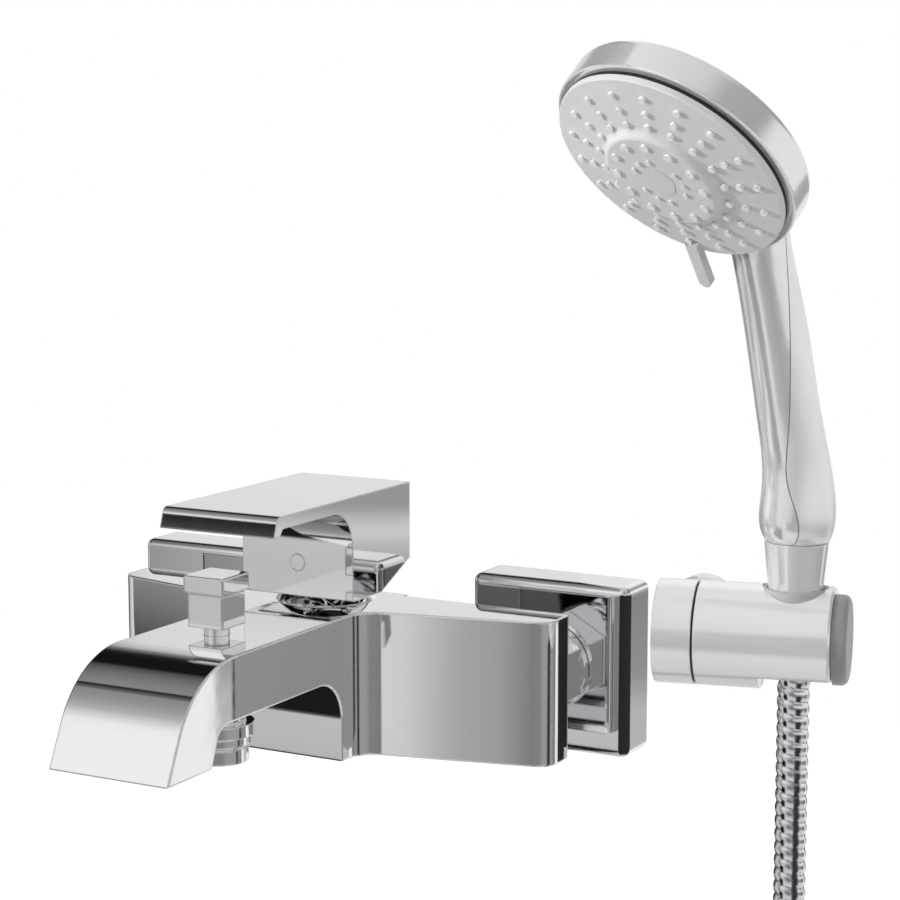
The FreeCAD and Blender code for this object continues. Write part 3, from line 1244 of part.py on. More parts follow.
def rings_of(body, kind: str, offset: str, ring: tuple, length: str, way: str) -> None:
    """Pad or pocket one round hole or nozzle and repeat it evenly round the head's axis."""
    distance, radius, count, turn_by = ring
    sketch = sketch_on(body, "XY", offset)
    circle(sketch, f"{distance} * cos({turn_by})", f"{distance} * sin({turn_by})", radius)
    feature = extrude(body, kind, sketch, length, way)
    pattern = body.newObject("PartDesign::PolarPattern", "pattern")
    pattern.Originals = [feature]
    pattern.Axis = (sketch, ["N_Axis"])
    pattern.Angle = 360
    bind(pattern, Occurrences=count)
    body.Tip = pattern


def shower_head(waterway) -> None:
    """Make the head: housing, distributor, and the face that turns with its tab and its nozzles."""
    housing = turned("head_housing_blank", "Z", [
        ("-housing_front", "seal_radius + 0.1"), ("-housing_front", "rim_radius", "rim_edge"),
        ("-rim_thickness", "rim_radius", "rim_round"), ("-dome_thickness", "dome_radius", "dome_round"),
        ("-crown_thickness", "crown_reach", "dome_round"), ("-crown_thickness", "0"),
        ("-(crown_thickness - head_wall)", "0"), ("-(crown_thickness - head_wall)", "crown_reach"),
        ("-(dome_thickness - head_wall)", "dome_radius - head_wall"),
        ("-(rim_thickness - head_wall)", "rim_radius - 2 * head_wall"),
        ("-(distributor_back + fit_gap)", "rim_radius - 2 * head_wall"),
        ("-(distributor_back + fit_gap)", "seal_radius + 0.1"),
    ], HEAD)
    pieces.remove(housing)
    publish(boolean("Cut", "head_housing", housing, waterway), "head_housing")

    plate = turned("distributor", "Z", [
        ("-distributor_back", "0"), ("-(mat_back + running_gap)", "0"),
        ("-(mat_back + running_gap)", "seal_radius - 0.8"), ("-distributor_back", "seal_radius - 0.8"),
    ], HEAD)
    post(plate, "XY", "-(mat_back + running_gap + 0.5)", ("0", "0"), "face_boss_radius - 1.5",
         "mat_back + face_boss_foot + 0.5", "up")
    rings_of(plate, "Pocket", "-distributor_back - 1", ("nozzle_middle_ring", "2", "6", "30"), "10", "up")
    drill(plate, "XY", "-distributor_back - 1", ("0", "0"), "face_screw_radius - fit_gap", "20", "up")
    turned("face_seal", "Z", sleeve(
        "-distributor_back", "-(face_edge + running_gap)", "seal_radius", "seal_radius - 0.75"), HEAD)

    rings = (
        ("nozzle_outer_ring", "nozzle_radius", "nozzle_spokes", "10"),
        ("nozzle_middle_ring", "nozzle_radius", "nozzle_spokes", "10"),
        ("nozzle_inner_ring", "nozzle_radius", "nozzle_spokes", "10"),
        ("massage_ring", "massage_radius", "massage_nozzles", "15"),
        ("jet_ring", "jet_radius", "3", "82"),
        ("jet_ring", "jet_radius", "3", "112"),
        ("jet_ring", "jet_radius", "3", "142"),
    )
    slope = "(face_step_foot / (face_radius - plateau_foot_radius))"
    face = turned("spray_face", "Z", [
        ("plateau_height - face_wall", "0"), ("plateau_height - face_wall", "plateau_radius - 0.8"),
        ("face_step_foot - face_wall", "plateau_foot_radius - 0.6"),
        ("-face_wall + 0.2", "face_radius - face_wall"), ("-face_edge", "face_radius - face_wall"),
        ("-face_edge", "face_radius"), ("0", "face_radius", "0.4"),
        ("face_step_foot", "plateau_foot_radius", "2.5"), ("plateau_height", "plateau_radius", "1.4"),
        ("plateau_height", "0"),
    ], HEAD)
    post(face, "XY", "face_boss_foot + running_gap", ("0", "0"), "face_boss_radius",
         "plateau_height - face_boss_foot - running_gap - 1", "up")
    sketch = sketch_on(face, "XY", "-0.2")
    half, tip, root = "selector_tab_width / 2", "selector_tab_reach", "(face_radius - 5)"
    corners = []
    for along, side, radius in ((root, "-", ""), (tip, "-", "r"), (tip, "", "r"), (root, "", "")):
        across = f"(-({along}) * sin(selector_tab_turn) {side or '+'} {half} * cos(selector_tab_turn))"
        up = f"(-({along}) * cos(selector_tab_turn) {'+' if side else '-'} {half} * sin(selector_tab_turn))"
        corners.append((across, up, f"{half} * 0.96") if radius else (across, up))
    outline(sketch, corners)
    extrude(face, "Pad", sketch, "selector_tab_thickness", "up")
    for distance, radius, count, turn_by in rings:
        rings_of(face, "Pocket", "plateau_height + 1",
                 (distance, f"{radius} + fit_gap", count, turn_by), "plateau_height + 6", "down")
    drill(face, "XY", "plateau_height - cap_thickness", ("0", "0"), "centre_cap_radius + fit_gap",
          "cap_thickness + 1", "up")
    drill(face, "XY", "plateau_height - cap_thickness - face_screw_head", ("0", "0"),
          "face_screw_head_radius + running_gap", "face_screw_head + 1", "up")
    drill(face, "XY", "-10", ("0", "0"), "face_screw_radius + fit_gap", "30", "up")

    mat = turned("nozzle_mat", "Z", [
        ("plateau_height - face_wall - fit_gap", "face_boss_radius + 0.2"),
        ("plateau_height - face_wall - fit_gap", "plateau_radius - 0.9"),
        ("face_step_foot - face_wall - fit_gap", "plateau_foot_radius - 0.7"),
        ("-face_wall + 0.1", "face_radius - face_wall - 0.2"),
        ("-mat_back", "face_radius - face_wall - 0.2"), ("-mat_back", "face_radius - face_wall - 4"),
        ("face_step_foot - face_wall - mat_thickness", "plateau_foot_radius - 0.7"),
        ("plateau_height - face_wall - mat_thickness", "plateau_radius - 0.9"),
        ("plateau_height - face_wall - mat_thickness", "face_boss_radius + 0.2"),
    ], HEAD)
    for distance, radius, count, turn_by in rings[:3]:
        rings_of(mat, "Pad", f"(face_radius - {distance}) * {slope} - face_wall - 0.6",
                 (distance, radius, count, turn_by), "face_wall + 0.6 + nozzle_height", "up")
    for distance, radius, count, turn_by in rings[3:]:
        rings_of(mat, "Pad", "plateau_height - face_wall - 0.6",
                 (distance, radius, count, turn_by), "face_wall + 0.6 + jet_height", "up")
    turned("face_screw", "Z", [
        ("-distributor_back + 0.5", "0"), ("plateau_height - cap_thickness - 0.2", "0"),
        ("plateau_height - cap_thickness - 0.2", "face_screw_head_radius"),
        ("plateau_height - cap_thickness - face_screw_head + fit_gap", "face_screw_head_radius"),
        ("plateau_height - cap_thickness - face_screw_head + fit_gap", "face_screw_radius"),
        ("face_boss_foot", "face_screw_radius"),
        ("face_boss_foot", "face_screw_radius - 2 * fit_gap"),
        ("-distributor_back + 0.5", "face_screw_radius - 2 * fit_gap"),
    ], HEAD)
    turned("centre_cap", "Z", rod(
        "plateau_height - cap_thickness", "plateau_height + 0.1", "centre_cap_radius"), HEAD)


def main() -> None:
    """Build every piece, check it and write it."""
    fill_sheet()
    for name, sign in (("left", -1), ("right", 1)):
        wall_side(name, sign)
    mixer_body()
    spout_parts()
    cartridge()
    lever()
    diverter()
    bracket()
    hose_connection()
    hose()
    coil()
    coil_fittings()
    handset()
    document.recompute()
    broken = [item.Label for item in document.Objects if "Invalid" in item.State or "Error" in item.State]
    if broken:
        raise SystemExit("These objects failed: " + ", ".join(broken))
    for piece in pieces:
        if piece.Shape.isNull() or not piece.Shape.isValid():
            raise SystemExit("This piece has no valid shape: " + piece.Label)
    os.makedirs("parts", exist_ok=True)
    for piece in pieces:
        piece.Shape.exportStep("parts/" + piece.Label + ".step")
        print(piece.Label, len(piece.Shape.Solids), round(piece.Shape.Volume, 1))


main()
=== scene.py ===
"""Wall mixer for a bath with its hand shower, wall bracket and hose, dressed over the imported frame.

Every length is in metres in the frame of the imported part: X runs right along the wall, Y into
the wall and Z up, from the point midway between the two wall inlets.
"""
from __future__ import annotations

import json
import logging
import math
from collections.abc import Sequence
from dataclasses import dataclass, field
from enum import Enum

import bmesh
import bpy
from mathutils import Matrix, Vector

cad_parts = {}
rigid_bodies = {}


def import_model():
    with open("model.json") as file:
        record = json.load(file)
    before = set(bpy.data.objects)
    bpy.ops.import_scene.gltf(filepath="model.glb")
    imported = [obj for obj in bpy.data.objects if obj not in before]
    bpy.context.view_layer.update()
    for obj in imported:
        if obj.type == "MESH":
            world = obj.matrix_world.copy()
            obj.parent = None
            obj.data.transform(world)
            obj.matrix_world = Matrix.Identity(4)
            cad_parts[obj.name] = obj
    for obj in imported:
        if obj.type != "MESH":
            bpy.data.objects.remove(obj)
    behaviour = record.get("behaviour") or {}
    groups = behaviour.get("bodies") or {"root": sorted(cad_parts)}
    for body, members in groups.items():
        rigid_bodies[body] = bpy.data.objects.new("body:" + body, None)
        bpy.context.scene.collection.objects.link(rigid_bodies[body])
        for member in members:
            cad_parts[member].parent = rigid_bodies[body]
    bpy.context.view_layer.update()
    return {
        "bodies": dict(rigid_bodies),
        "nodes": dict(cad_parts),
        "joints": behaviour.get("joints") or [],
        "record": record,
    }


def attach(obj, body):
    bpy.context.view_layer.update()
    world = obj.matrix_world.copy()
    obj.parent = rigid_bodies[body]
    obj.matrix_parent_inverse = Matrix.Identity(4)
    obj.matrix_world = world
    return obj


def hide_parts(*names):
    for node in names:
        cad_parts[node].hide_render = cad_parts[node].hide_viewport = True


LOG = logging.getLogger("shower_mixer")
MM = 0.001

# Nearly all values of a noise texture lie between these two.
NOISE_LOW, NOISE_HIGH = 0.3, 0.7
BEVEL_SAMPLES = 4

Socket = bpy.types.NodeSocket
Colour = tuple[float, float, float]
Pair = tuple[float, float]
# Stops along a board or round the room, each a place or an angle and its grey.
Tones = Sequence[Pair]


class Blend(Enum):
    """How a row of greys runs from one stop to the next."""

    EASED = "EASE"
    STRAIGHT = "LINEAR"


class Bend(Enum):
    """How a curved board bends: over a level line along the wall, or round an upright line."""

    OVER = "over"
    ROUND = "round"

    @property
    def axis(self) -> str:
        """Return the axis that the board bends about."""
        return "X" if self is Bend.OVER else "Z"

    @property
    def rise(self) -> str:
        """Return the axis along which the angle's sine grows."""
        return "Z" if self is Bend.OVER else "X"

    @property
    def start(self) -> float:
        """Return the side where the angle is nought: 1 behind the set, -1 in front of it."""
        return 1.0 if self is Bend.OVER else -1.0


def lighter(colour: Colour, share: float) -> Colour:
    """Return a colour scaled by a share, kept within 0 and 1."""
    return tuple(min(1.0, max(0.0, part * share)) for part in colour)


def grey(level: float) -> tuple[float, float, float, float]:
    """Return an opaque grey."""
    return (level, level, level, 1.0)


class Nodes:
    """A node tree with short calls for the nodes that finishes, boards and surroundings share."""

    def __init__(self, tree: bpy.types.NodeTree) -> None:
        """Empty a tree and keep it.

        Args:
            tree: The tree of a material or of the world.
        """
        self.tree = tree
        self.tree.nodes.clear()

    def add(self, kind: str) -> bpy.types.Node:
        """Add a node of a kind."""
        return self.tree.nodes.new(kind)

    def feed(self, socket: Socket, value: object) -> None:
        """Give an input what it works with.

        Args:
            socket: The input.
            value: An output to join it to, or a number or colour of its own.
        """
        if isinstance(value, bpy.types.NodeSocket):
            self.tree.links.new(value, socket)
        else:
            socket.default_value = value

    def maths(self, operation: str, *values: Socket | float) -> Socket:
        """Work out one value from others.

        Args:
            operation: What to do, by its name in Blender.
            *values: Outputs or numbers, in the order of the node's inputs.

        Returns:
            The result's socket.
        """
        node = self.add("ShaderNodeMath")
        node.operation = operation
        for socket, value in zip(node.inputs, values):
            self.feed(socket, value)
        return node.outputs[0]

    def mapped(self, source: Socket, start: float, end: float, low: float = 0.0, high: float = 1.0,
               smooth: bool = False) -> Socket:
        """Map a value from one range onto another.

        Args:
            source: The value.
            start: Where the value's range starts.
            end: Where it ends.
            low: The result at the start.
            high: The result at the end.
            smooth: Whether the result leaves and reaches its ends gently.

        Returns:
            The result's socket.
        """
        node = self.add("ShaderNodeMapRange")
        node.interpolation_type = "SMOOTHSTEP" if smooth else "LINEAR"
        node.inputs["From Min"].default_value = start
        node.inputs["From Max"].default_value = end
        node.inputs["To Min"].default_value = low
        node.inputs["To Max"].default_value = high
        self.feed(node.inputs["Value"], source)
        return node.outputs["Result"]

    def greys(self, source: Socket, tones: Tones, blend: Blend) -> Socket:
        """Turn a value into a grey.

        Args:
            source: A value between 0 and 1.
            tones: Places between 0 and 1, each with its grey.
            blend: How the greys run between two stops.

        Returns:
            The grey's socket.
        """
        ramp = self.add("ShaderNodeValToRGB")
        ramp.color_ramp.interpolation = blend.value
        stops = ramp.color_ramp.elements
        held = len(stops)
        for index, (position, level) in enumerate(tones):
            stop = stops[index] if index < held else stops.new(position)
            stop.position = position
            stop.color = grey(level)
        self.feed(ramp.inputs["Fac"], source)
        return ramp.outputs["Color"]


class Graph(Nodes):
    """The tree of one finish: a Principled shader, and noises over the part's own coordinates."""

    def __init__(self, name: str) -> None:
        """Start an empty material with a Principled shader.

        Args:
            name: The material's name.
        """
        self.material = bpy.data.materials.new(name)
        self.material.use_nodes = True
        super().__init__(self.material.node_tree)
        self.shader = self.add("ShaderNodeBsdfPrincipled")
        self.feed(self.add("ShaderNodeOutputMaterial").inputs["Surface"], self.shader.outputs[0])
        self.place = self.add("ShaderNodeTexCoord").outputs["Object"]

    def plain(self, **values: object) -> None:
        """Set the shader's own sockets.

        Args:
            **values: Socket names with underscores for spaces, and their values.
        """
        for name, value in values.items():
            self.feed(self.shader.inputs[name.replace("_", " ")], value)

    def noise(self, scale: float, detail: float = 3.0, stretch: Vector | None = None) -> Socket:
        """Add a noise over the part's own coordinates.

        Args:
            scale: Features per metre.
            detail: Octaves of the noise.
            stretch: Scale along each axis, for a brushed grain.

        Returns:
            The noise's value socket.
        """
        texture = self.add("ShaderNodeTexNoise")
        texture.inputs["Scale"].default_value = scale
        texture.inputs["Detail"].default_value = detail
        source = self.place
        if stretch is not None:
            mapping = self.add("ShaderNodeMapping")
            mapping.inputs["Scale"].default_value = stretch
            self.feed(mapping.inputs["Vector"], source)
            source = mapping.outputs["Vector"]
        self.feed(texture.inputs["Vector"], source)
        return texture.outputs["Fac"]

    def tint(self, source: Socket, first: Colour, second: Colour) -> None:
        """Let the base colour run between two colours.

        Args:
            source: The noise that it follows.
            first: The colour at the noise's low end.
            second: The colour at its high end.
        """
        ramp = self.add("ShaderNodeValToRGB")
        for stop, position, colour in zip(
                ramp.color_ramp.elements, (NOISE_LOW, NOISE_HIGH), (first, second)):
            stop.position = position
            stop.color = (*colour, 1.0)
        self.feed(ramp.inputs["Fac"], source)
        self.feed(self.shader.inputs["Base Color"], ramp.outputs["Color"])

    def drift(self, source: Socket, colour: Colour, shares: Pair) -> None:
        """Let the base colour drift a little round its own tone.

        Args:
            source: The noise that it follows.
            colour: The finish's colour.
            shares: How dark and how light it gets, as shares of the colour.
        """
        self.tint(source, lighter(colour, shares[0]), lighter(colour, shares[1]))

    def roughen(self, source: Socket, low: float, high: float) -> None:
        """Let the roughness run between two values.

        Args:
            source: The noise that it follows.
            low: The roughness at the noise's low end.
            high: The roughness at its high end.
        """
        self.feed(self.shader.inputs["Roughness"],
                  self.mapped(source, NOISE_LOW, NOISE_HIGH, low, high))

    def relief(self, source: Socket, depth: float, edge: float) -> None:
        """Raise the surface's normal from a value, over rounded edges.

        Args:
            source: The height between 0 and 1.
            depth: The height of 1, in metres.
            edge: The radius over which sharp edges read as rounded, in metres, or 0 for none.
        """
        bump = self.add("ShaderNodeBump")
        bump.inputs["Distance"].default_value = depth
        bump.inputs["Strength"].default_value = 1.0
        self.feed(bump.inputs["Height"], source)
        if edge > 0.0:
            bevel = self.add("ShaderNodeBevel")
            bevel.samples = BEVEL_SAMPLES
            bevel.inputs["Radius"].default_value = edge
            self.feed(bump.inputs["Normal"], bevel.outputs["Normal"])
        self.feed(self.shader.inputs["Normal"], bump.outputs["Normal"])


@dataclass(frozen=True)
class Plating:
    """Bright plating: a mirror with the faint unevenness of the polished piece below it."""

    name: str
    colour: Colour = (0.86, 0.865, 0.875)
    sheen: Pair = (0.02, 0.06)
    edge: float = 0.0008
    metal: float = 1.0
    swell: float = 0.00002
    cloud_scale: float = 14.0
    wipe_scale: float = 160.0
    tone: Pair = (0.98, 1.02)

    def make(self) -> bpy.types.Material:
        """Build the material.

        Returns:
            The plating's material.
        """
        graph = Graph(self.name)
        graph.plain(Metallic=self.metal)
        cloud = graph.noise(self.cloud_scale, detail=2.0)
        graph.drift(cloud, self.colour, self.tone)
        graph.roughen(graph.noise(self.wipe_scale), *self.sheen)
        graph.relief(cloud, self.swell, self.edge)
        return graph.material


@dataclass(frozen=True)
class Moulding:
    """Moulded plastic: a fine grain, and a tone that drifts a little over the surface."""

    name: str
    colour: Colour
    roughness: float = 0.45
    wear: Pair = (0.85, 1.15)
    tone: Pair = (0.96, 1.03)
    refraction: float = 1.49
    cloud_scale: float = 30.0
    grain_scale: float = 900.0
    depth: float = 0.00001
    edge: float = 0.0002

    def make(self) -> bpy.types.Material:
        """Build the material.

        Returns:
            The plastic's material.
        """
        graph = Graph(self.name)
        graph.plain(IOR=self.refraction)
        grain = graph.noise(self.grain_scale, detail=4.0)
        graph.drift(graph.noise(self.cloud_scale, detail=2.0), self.colour, self.tone)
        graph.roughen(grain, *(self.roughness * share for share in self.wear))
        graph.relief(grain, self.depth, self.edge)
        return graph.material


@dataclass(frozen=True)
class Elastomer:
    """Rubber or silicone: soft, with a mottled sheen and light that scatters inside."""

    name: str
    colour: Colour
    roughness: float = 0.6
    softness: float = 0.0
    scatter: float = 0.001
    wear: Pair = (0.9, 1.1)
    tone: Pair = (0.9, 1.1)
    mottle_scale: float = 500.0
    depth: float = 0.00002
    edge: float = 0.0001

    def make(self) -> bpy.types.Material:
        """Build the material.

        Returns:
            The rubber's material.
        """
        graph = Graph(self.name)
        graph.plain(Subsurface_Weight=self.softness, Subsurface_Scale=self.scatter)
        mottle = graph.noise(self.mottle_scale, detail=5.0)
        graph.drift(mottle, self.colour, self.tone)
        graph.roughen(mottle, *(self.roughness * share for share in self.wear))
        graph.relief(mottle, self.depth, self.edge)
        return graph.material


@dataclass(frozen=True)
class Turned:
    """Turned or drawn metal: fine tool lines round the axis and a slight change of tone."""

    name: str
    colour: Colour
    roughness: float = 0.28
    wear: Pair = (0.7, 1.3)
    tone: Pair = (0.92, 1.04)
    cloud_scale: float = 60.0
    lines: tuple[float, float, float] = (40.0, 900.0, 900.0)
    depth: float = 0.00001
    edge: float = 0.0002

    def make(self) -> bpy.types.Material:
        """Build the material.

        Returns:
            The metal's material.
        """
        graph = Graph(self.name)
        graph.plain(Metallic=1.0)
        grain = graph.noise(1.0, detail=4.0, stretch=Vector(self.lines))
        graph.drift(graph.noise(self.cloud_scale, detail=2.0), self.colour, self.tone)
        graph.roughen(grain, *(self.roughness * share for share in self.wear))
        graph.relief(grain, self.depth, self.edge)
        return graph.material


# Each of the record's material slots with its finish. The bracket's and the hand shower's plating
# mirrors less than the mixer's.
FINISHES = {
    "chrome": Plating("bright_chrome"),
    "bracket_chrome": Plating(
        "bracket_chrome", colour=(0.9, 0.885, 0.88), sheen=(0.12, 0.18), metal=0.5),
    "shower_chrome": Plating(
        "shower_chrome", colour=(0.88, 0.885, 0.89), sheen=(0.12, 0.18), edge=0.0, metal=0.62),
    "shower_back": Plating(
        "pale_chrome", colour=(0.93, 0.93, 0.935), sheen=(0.32, 0.4), edge=0.0, metal=0.62),
    "hose_metal": Plating("hose_chrome", colour=(0.78, 0.79, 0.82), sheen=(0.08, 0.16)),
    "face_grey": Moulding("face_grey", colour=(0.68, 0.69, 0.7), roughness=0.4),
    "nozzle_rubber": Elastomer(
        "nozzle_silicone", colour=(0.86, 0.86, 0.86), roughness=0.2, softness=0.03),
    "dark_seal": Elastomer("dark_seal", colour=(0.02, 0.02, 0.02)),
    "cap_clear": Moulding("frosted_cap", colour=(0.33, 0.32, 0.31), roughness=0.35),
    "liner_plastic": Moulding("liner_plastic", colour=(0.5, 0.49, 0.48), roughness=0.5),
    "brass": Turned("turned_brass", colour=(0.78, 0.6, 0.33)),
    "steel": Turned("plain_steel", colour=(0.58, 0.57, 0.55)),
    "ceramic": Moulding("ceramic", colour=(0.88, 0.87, 0.85), roughness=0.12),
    "white_plastic": Moulding("white_plastic", colour=(0.82, 0.82, 0.8)),
    "rubber": Elastomer("black_rubber", colour=(0.03, 0.03, 0.03)),
}


@dataclass
class Wardrobe:
    """Keeps each finish's material, made once."""

    made: dict[str, bpy.types.Material] = field(default_factory=dict)

    def take(self, slot: str) -> bpy.types.Material:
        """Return the material of a slot, made when it is first asked for.

        Args:
            slot: One of the record's material slots.

        Returns:
            The slot's material.
        """
        if slot not in self.made:
            self.made[slot] = FINISHES[slot].make()
        return self.made[slot]

    def dress(self, piece: bpy.types.Object, slot: str) -> None:
        """Give a piece the material of a slot, in place of what it wears.

        Args:
            piece: The object to dress.
            slot: One of the record's material slots.
        """
        piece.data.materials.clear()
        piece.data.materials.append(self.take(slot))
        LOG.info("%s: %s", piece.name, slot)

    def dress_nodes(self, frame: dict) -> None:
        """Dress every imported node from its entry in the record.
        """
        for entry in frame["record"]["subparts"]:
            self.dress(frame["nodes"][entry["node"]], entry["material_slot"])


@dataclass
class ShowerHose:
    """The chromed strip hose: it hangs from the holder, and its spare length is tied in a coil."""

    exit: Vector = field(default_factory=lambda: Vector((0.1745, -0.030, 0.020)))
    length: float = 1.598
    radius: float = 5.65 * MM
    groove: float = 1.0 * MM
    pitch: float = 4.7 * MM
    roundness: float = 0.45
    drops: tuple[float, ...] = (0.030, 0.085, 0.135)
    coil_level: float = -0.1645
    coil_lead: float = 0.014
    coil_radius: float = 0.070
    coil_step: float = 12.2 * MM
    coil_dip: float = 1.6 * MM
    turns_in: float = 1.25
    climb: float = 0.5
    turns_out: float = 1.75
    tail: float = 34 * MM
    tail_middle: float = 0.45
    points_per_turn: int = 16
    line_steps: int = 12
    sides: int = 20
    rings_per_rib: int = 8
    rings_per_path_point: int = 4

    def coil_place(self, turns: float) -> Vector:
        """Return the coil's line after a number of turns.

        Args:
            turns: Turns from where the hose meets the coil.

        Returns:
            The place in the part's frame.
        """
        climbed = min(max((turns - self.turns_in) / self.climb, 0.0), 1.0)
        radius = self.coil_radius - min(turns, self.turns_in) * self.coil_step
        radius += max(turns - self.turns_in - self.climb, 0.0) * self.coil_step
        radius -= self.coil_dip * math.sin(math.pi * climbed)
        angle = -2 * math.pi * turns
        return Vector((
            self.exit.x - self.coil_radius + radius * math.cos(angle),
            self.exit.y - climbed * self.coil_step,
            self.coil_level + radius * math.sin(angle)))

    def route(self) -> list[Vector]:
        """Return the control points of the hose's line, from the exit to its free end.

        Returns:
            The straight drop's points, the coil's and the short tail's.
        """
        x, y, z = self.exit
        points = [self.exit, *(Vector((x, y, z - drop)) for drop in self.drops),
                  Vector((x, y, self.coil_level + self.coil_lead))]
        total = self.turns_in + self.climb + self.turns_out
        steps = round(total * self.points_per_turn)
        middle = Vector((x - self.coil_radius, 0.0, self.coil_level))
        # Control points stand outside the turn that the spline draws between them.
        outward = 1.0 / math.cos(math.pi / self.points_per_turn)
        for step in range(steps):
            spoke = self.coil_place((step + 0.5) * total / steps) - middle
            points.append(middle + Vector((spoke.x * outward, spoke.y, spoke.z * outward)))
        end = self.coil_place(total)
        points.append(end + Vector((0.0, 0.0, self.tail * self.tail_middle)))
        points.append(end + Vector((0.0, 0.0, self.tail)))
        return points

    def line(self) -> list[Vector]:
        """Return the smooth line of the hose, read from its spline.

        Returns:
            Close points along the line.
        """
        curve = bpy.data.curves.new("hose_line", "CURVE")
        curve.dimensions = "3D"
        curve.resolution_u = self.line_steps
        spline = curve.splines.new("NURBS")
        route = self.route()
        spline.points.add(len(route) - 1)
        for point, place in zip(spline.points, route):
            point.co = (*place, 1.0)
        spline.order_u = 3
        spline.use_endpoint_u = True
        holder = bpy.data.objects.new("hose_line", curve)
        bpy.context.scene.collection.objects.link(holder)
        bpy.context.view_layer.update()
        mesh = bpy.data.meshes.new_from_object(holder)
        places = [vertex.co.copy() for vertex in mesh.vertices]
        bpy.data.objects.remove(holder)
        bpy.data.meshes.remove(mesh)
        return places

    def evenly(self, places: list[Vector], step: float) -> list[Vector]:
        """Return points at even distances along a line.

        Args:
            places: The line's own points.
            step: The distance between two returned points.

        Returns:
            The even points, the last one at the line's end.
        """
        runs = [0.0]
        for first, second in zip(places, places[1:]):
            runs.append(runs[-1] + (second - first).length)
        count = round(runs[-1] / step)
        even, index = [], 0
        for number in range(count + 1):
            target = runs[-1] * number / count
            while index < len(places) - 2 and runs[index + 1] < target:
                index += 1
            part = (target - runs[index]) / (runs[index + 1] - runs[index])
            even.append(places[index].lerp(places[index + 1], min(part, 1.0)))
        return even

    def bulge(self, phase: float) -> float:
        """Return the hose's radius at a phase of one turn of its strip, from 0 to 1."""
        swell = abs(math.sin(math.pi * phase)) ** self.roundness
        return self.radius - self.groove * (1.0 - swell)

    def rings(self, mesh: bmesh.types.BMesh, even: list[Vector]) -> list[list[bmesh.types.BMVert]]:
        """Add the rings of corners round the line, whose ribs wind along it.

        Args:
            mesh: The mesh that takes the corners.
            even: Even points along the line.

        Returns:
            The rings in order, each with its corners.
        """
        across = Vector((1.0, 0.0, 0.0))
        rings = []
        for index, place in enumerate(even):
            ahead = even[min(index + 1, len(even) - 1)] - even[max(index - 1, 0)]
            way = ahead.normalized()
            across = (across - way * across.dot(way)).normalized()
            beside = way.cross(across)
            ring = []
            for side in range(self.sides):
                share = side / self.sides
                angle = 2 * math.pi * share
                spoke = across * math.cos(angle) + beside * math.sin(angle)
                phase = (index / self.rings_per_rib + share) % 1.0
                ring.append(mesh.verts.new(place + spoke * self.bulge(phase)))
            rings.append(ring)
        return rings

    def skin(self, even: list[Vector]) -> bpy.types.Mesh:
        """Build the spiral strip's closed mesh along the line.

        Args:
            even: Even points along the line.

        Returns:
            The mesh.
        """
        mesh = bmesh.new()
        rings = self.rings(mesh, even)
        for first, second in zip(rings, rings[1:]):
            for side in range(self.sides):
                after = (side + 1) % self.sides
                mesh.faces.new((first[side], first[after], second[after], second[side]))
        mesh.faces.new(list(reversed(rings[0])))
        mesh.faces.new(rings[-1])
        for face in mesh.faces:
            face.smooth = True
        data = bpy.data.meshes.new("shower_hose")
        mesh.to_mesh(data)
        mesh.free()
        return data

    def build(self, wardrobe: Wardrobe, frame: dict) -> None:
        """Args:
            wardrobe: The finishes.
        """
        even = self.evenly(self.line(), self.pitch / self.rings_per_rib)
        piece = bpy.data.objects.new("shower_hose", self.skin(even))
        bpy.context.scene.collection.objects.link(piece)
        wardrobe.dress(piece, "hose_metal")
        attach(piece, "hose_group")
        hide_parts("hose", "hose_coil")
        LOG.info("%s: %d rings", piece.name, len(even))


class Glow(Nodes):
    """The paint of a board: light of its own, over the board's own coordinates."""

    def __init__(self, name: str) -> None:
        """Start the material.

        Args:
            name: The material's name.
        """
        self.material = bpy.data.materials.new(name)
        self.material.use_nodes = True
        super().__init__(self.material.node_tree)
        self.light = self.add("ShaderNodeEmission")
        self.feed(self.add("ShaderNodeOutputMaterial").inputs["Surface"], self.light.outputs[0])
        split = self.add("ShaderNodeSeparateXYZ")
        self.feed(split.inputs[0], self.add("ShaderNodeTexCoord").outputs["Object"])
        self.place = split.outputs


@dataclass
class Board:
    """A board that only reflections see, as a photographer places flags beside a product."""

    name: str
    place: Vector

    def stand(self, data: bpy.types.Mesh) -> bpy.types.Object:
        """Stand the board at its place, hidden from all but reflections.

        Args:
            data: The board's mesh.

        Returns:
            The board's object.
        """
        board = bpy.data.objects.new(self.name, data)
        board.location = self.place
        bpy.context.scene.collection.objects.link(board)
        board.visible_camera = False
        board.visible_diffuse = False
        board.visible_shadow = False
        return board


@dataclass
class Card(Board):
    """A flat board, whose greys run from its lower edge at 0 to its upper edge at 1."""

    faces: Vector
    width: float
    height: float
    tones: Tones

    def build(self) -> None:
        """Build the board and turn it to the point that it faces."""
        data = bpy.data.meshes.new(self.name)
        half_width, half_height = self.width / 2, self.height / 2
        outline = [
            (-half_width, -half_height, 0.0), (half_width, -half_height, 0.0),
            (half_width, half_height, 0.0), (-half_width, half_height, 0.0)]
        data.from_pydata(outline, [], [(0, 1, 2, 3)])
        data.materials.append(self.paint())
        board = self.stand(data)
        board.rotation_mode = "QUATERNION"
        board.rotation_quaternion = (self.faces - self.place).to_track_quat("Z", "Y")

    def paint(self) -> bpy.types.Material:
        """Return the board's paint.

        Returns:
            The material.
        """
        glow = Glow(self.name)
        upward = glow.mapped(glow.place["Y"], -self.height / 2, self.height / 2)
        glow.feed(glow.light.inputs["Color"], glow.greys(upward, self.tones, Blend.EASED))
        return glow.material


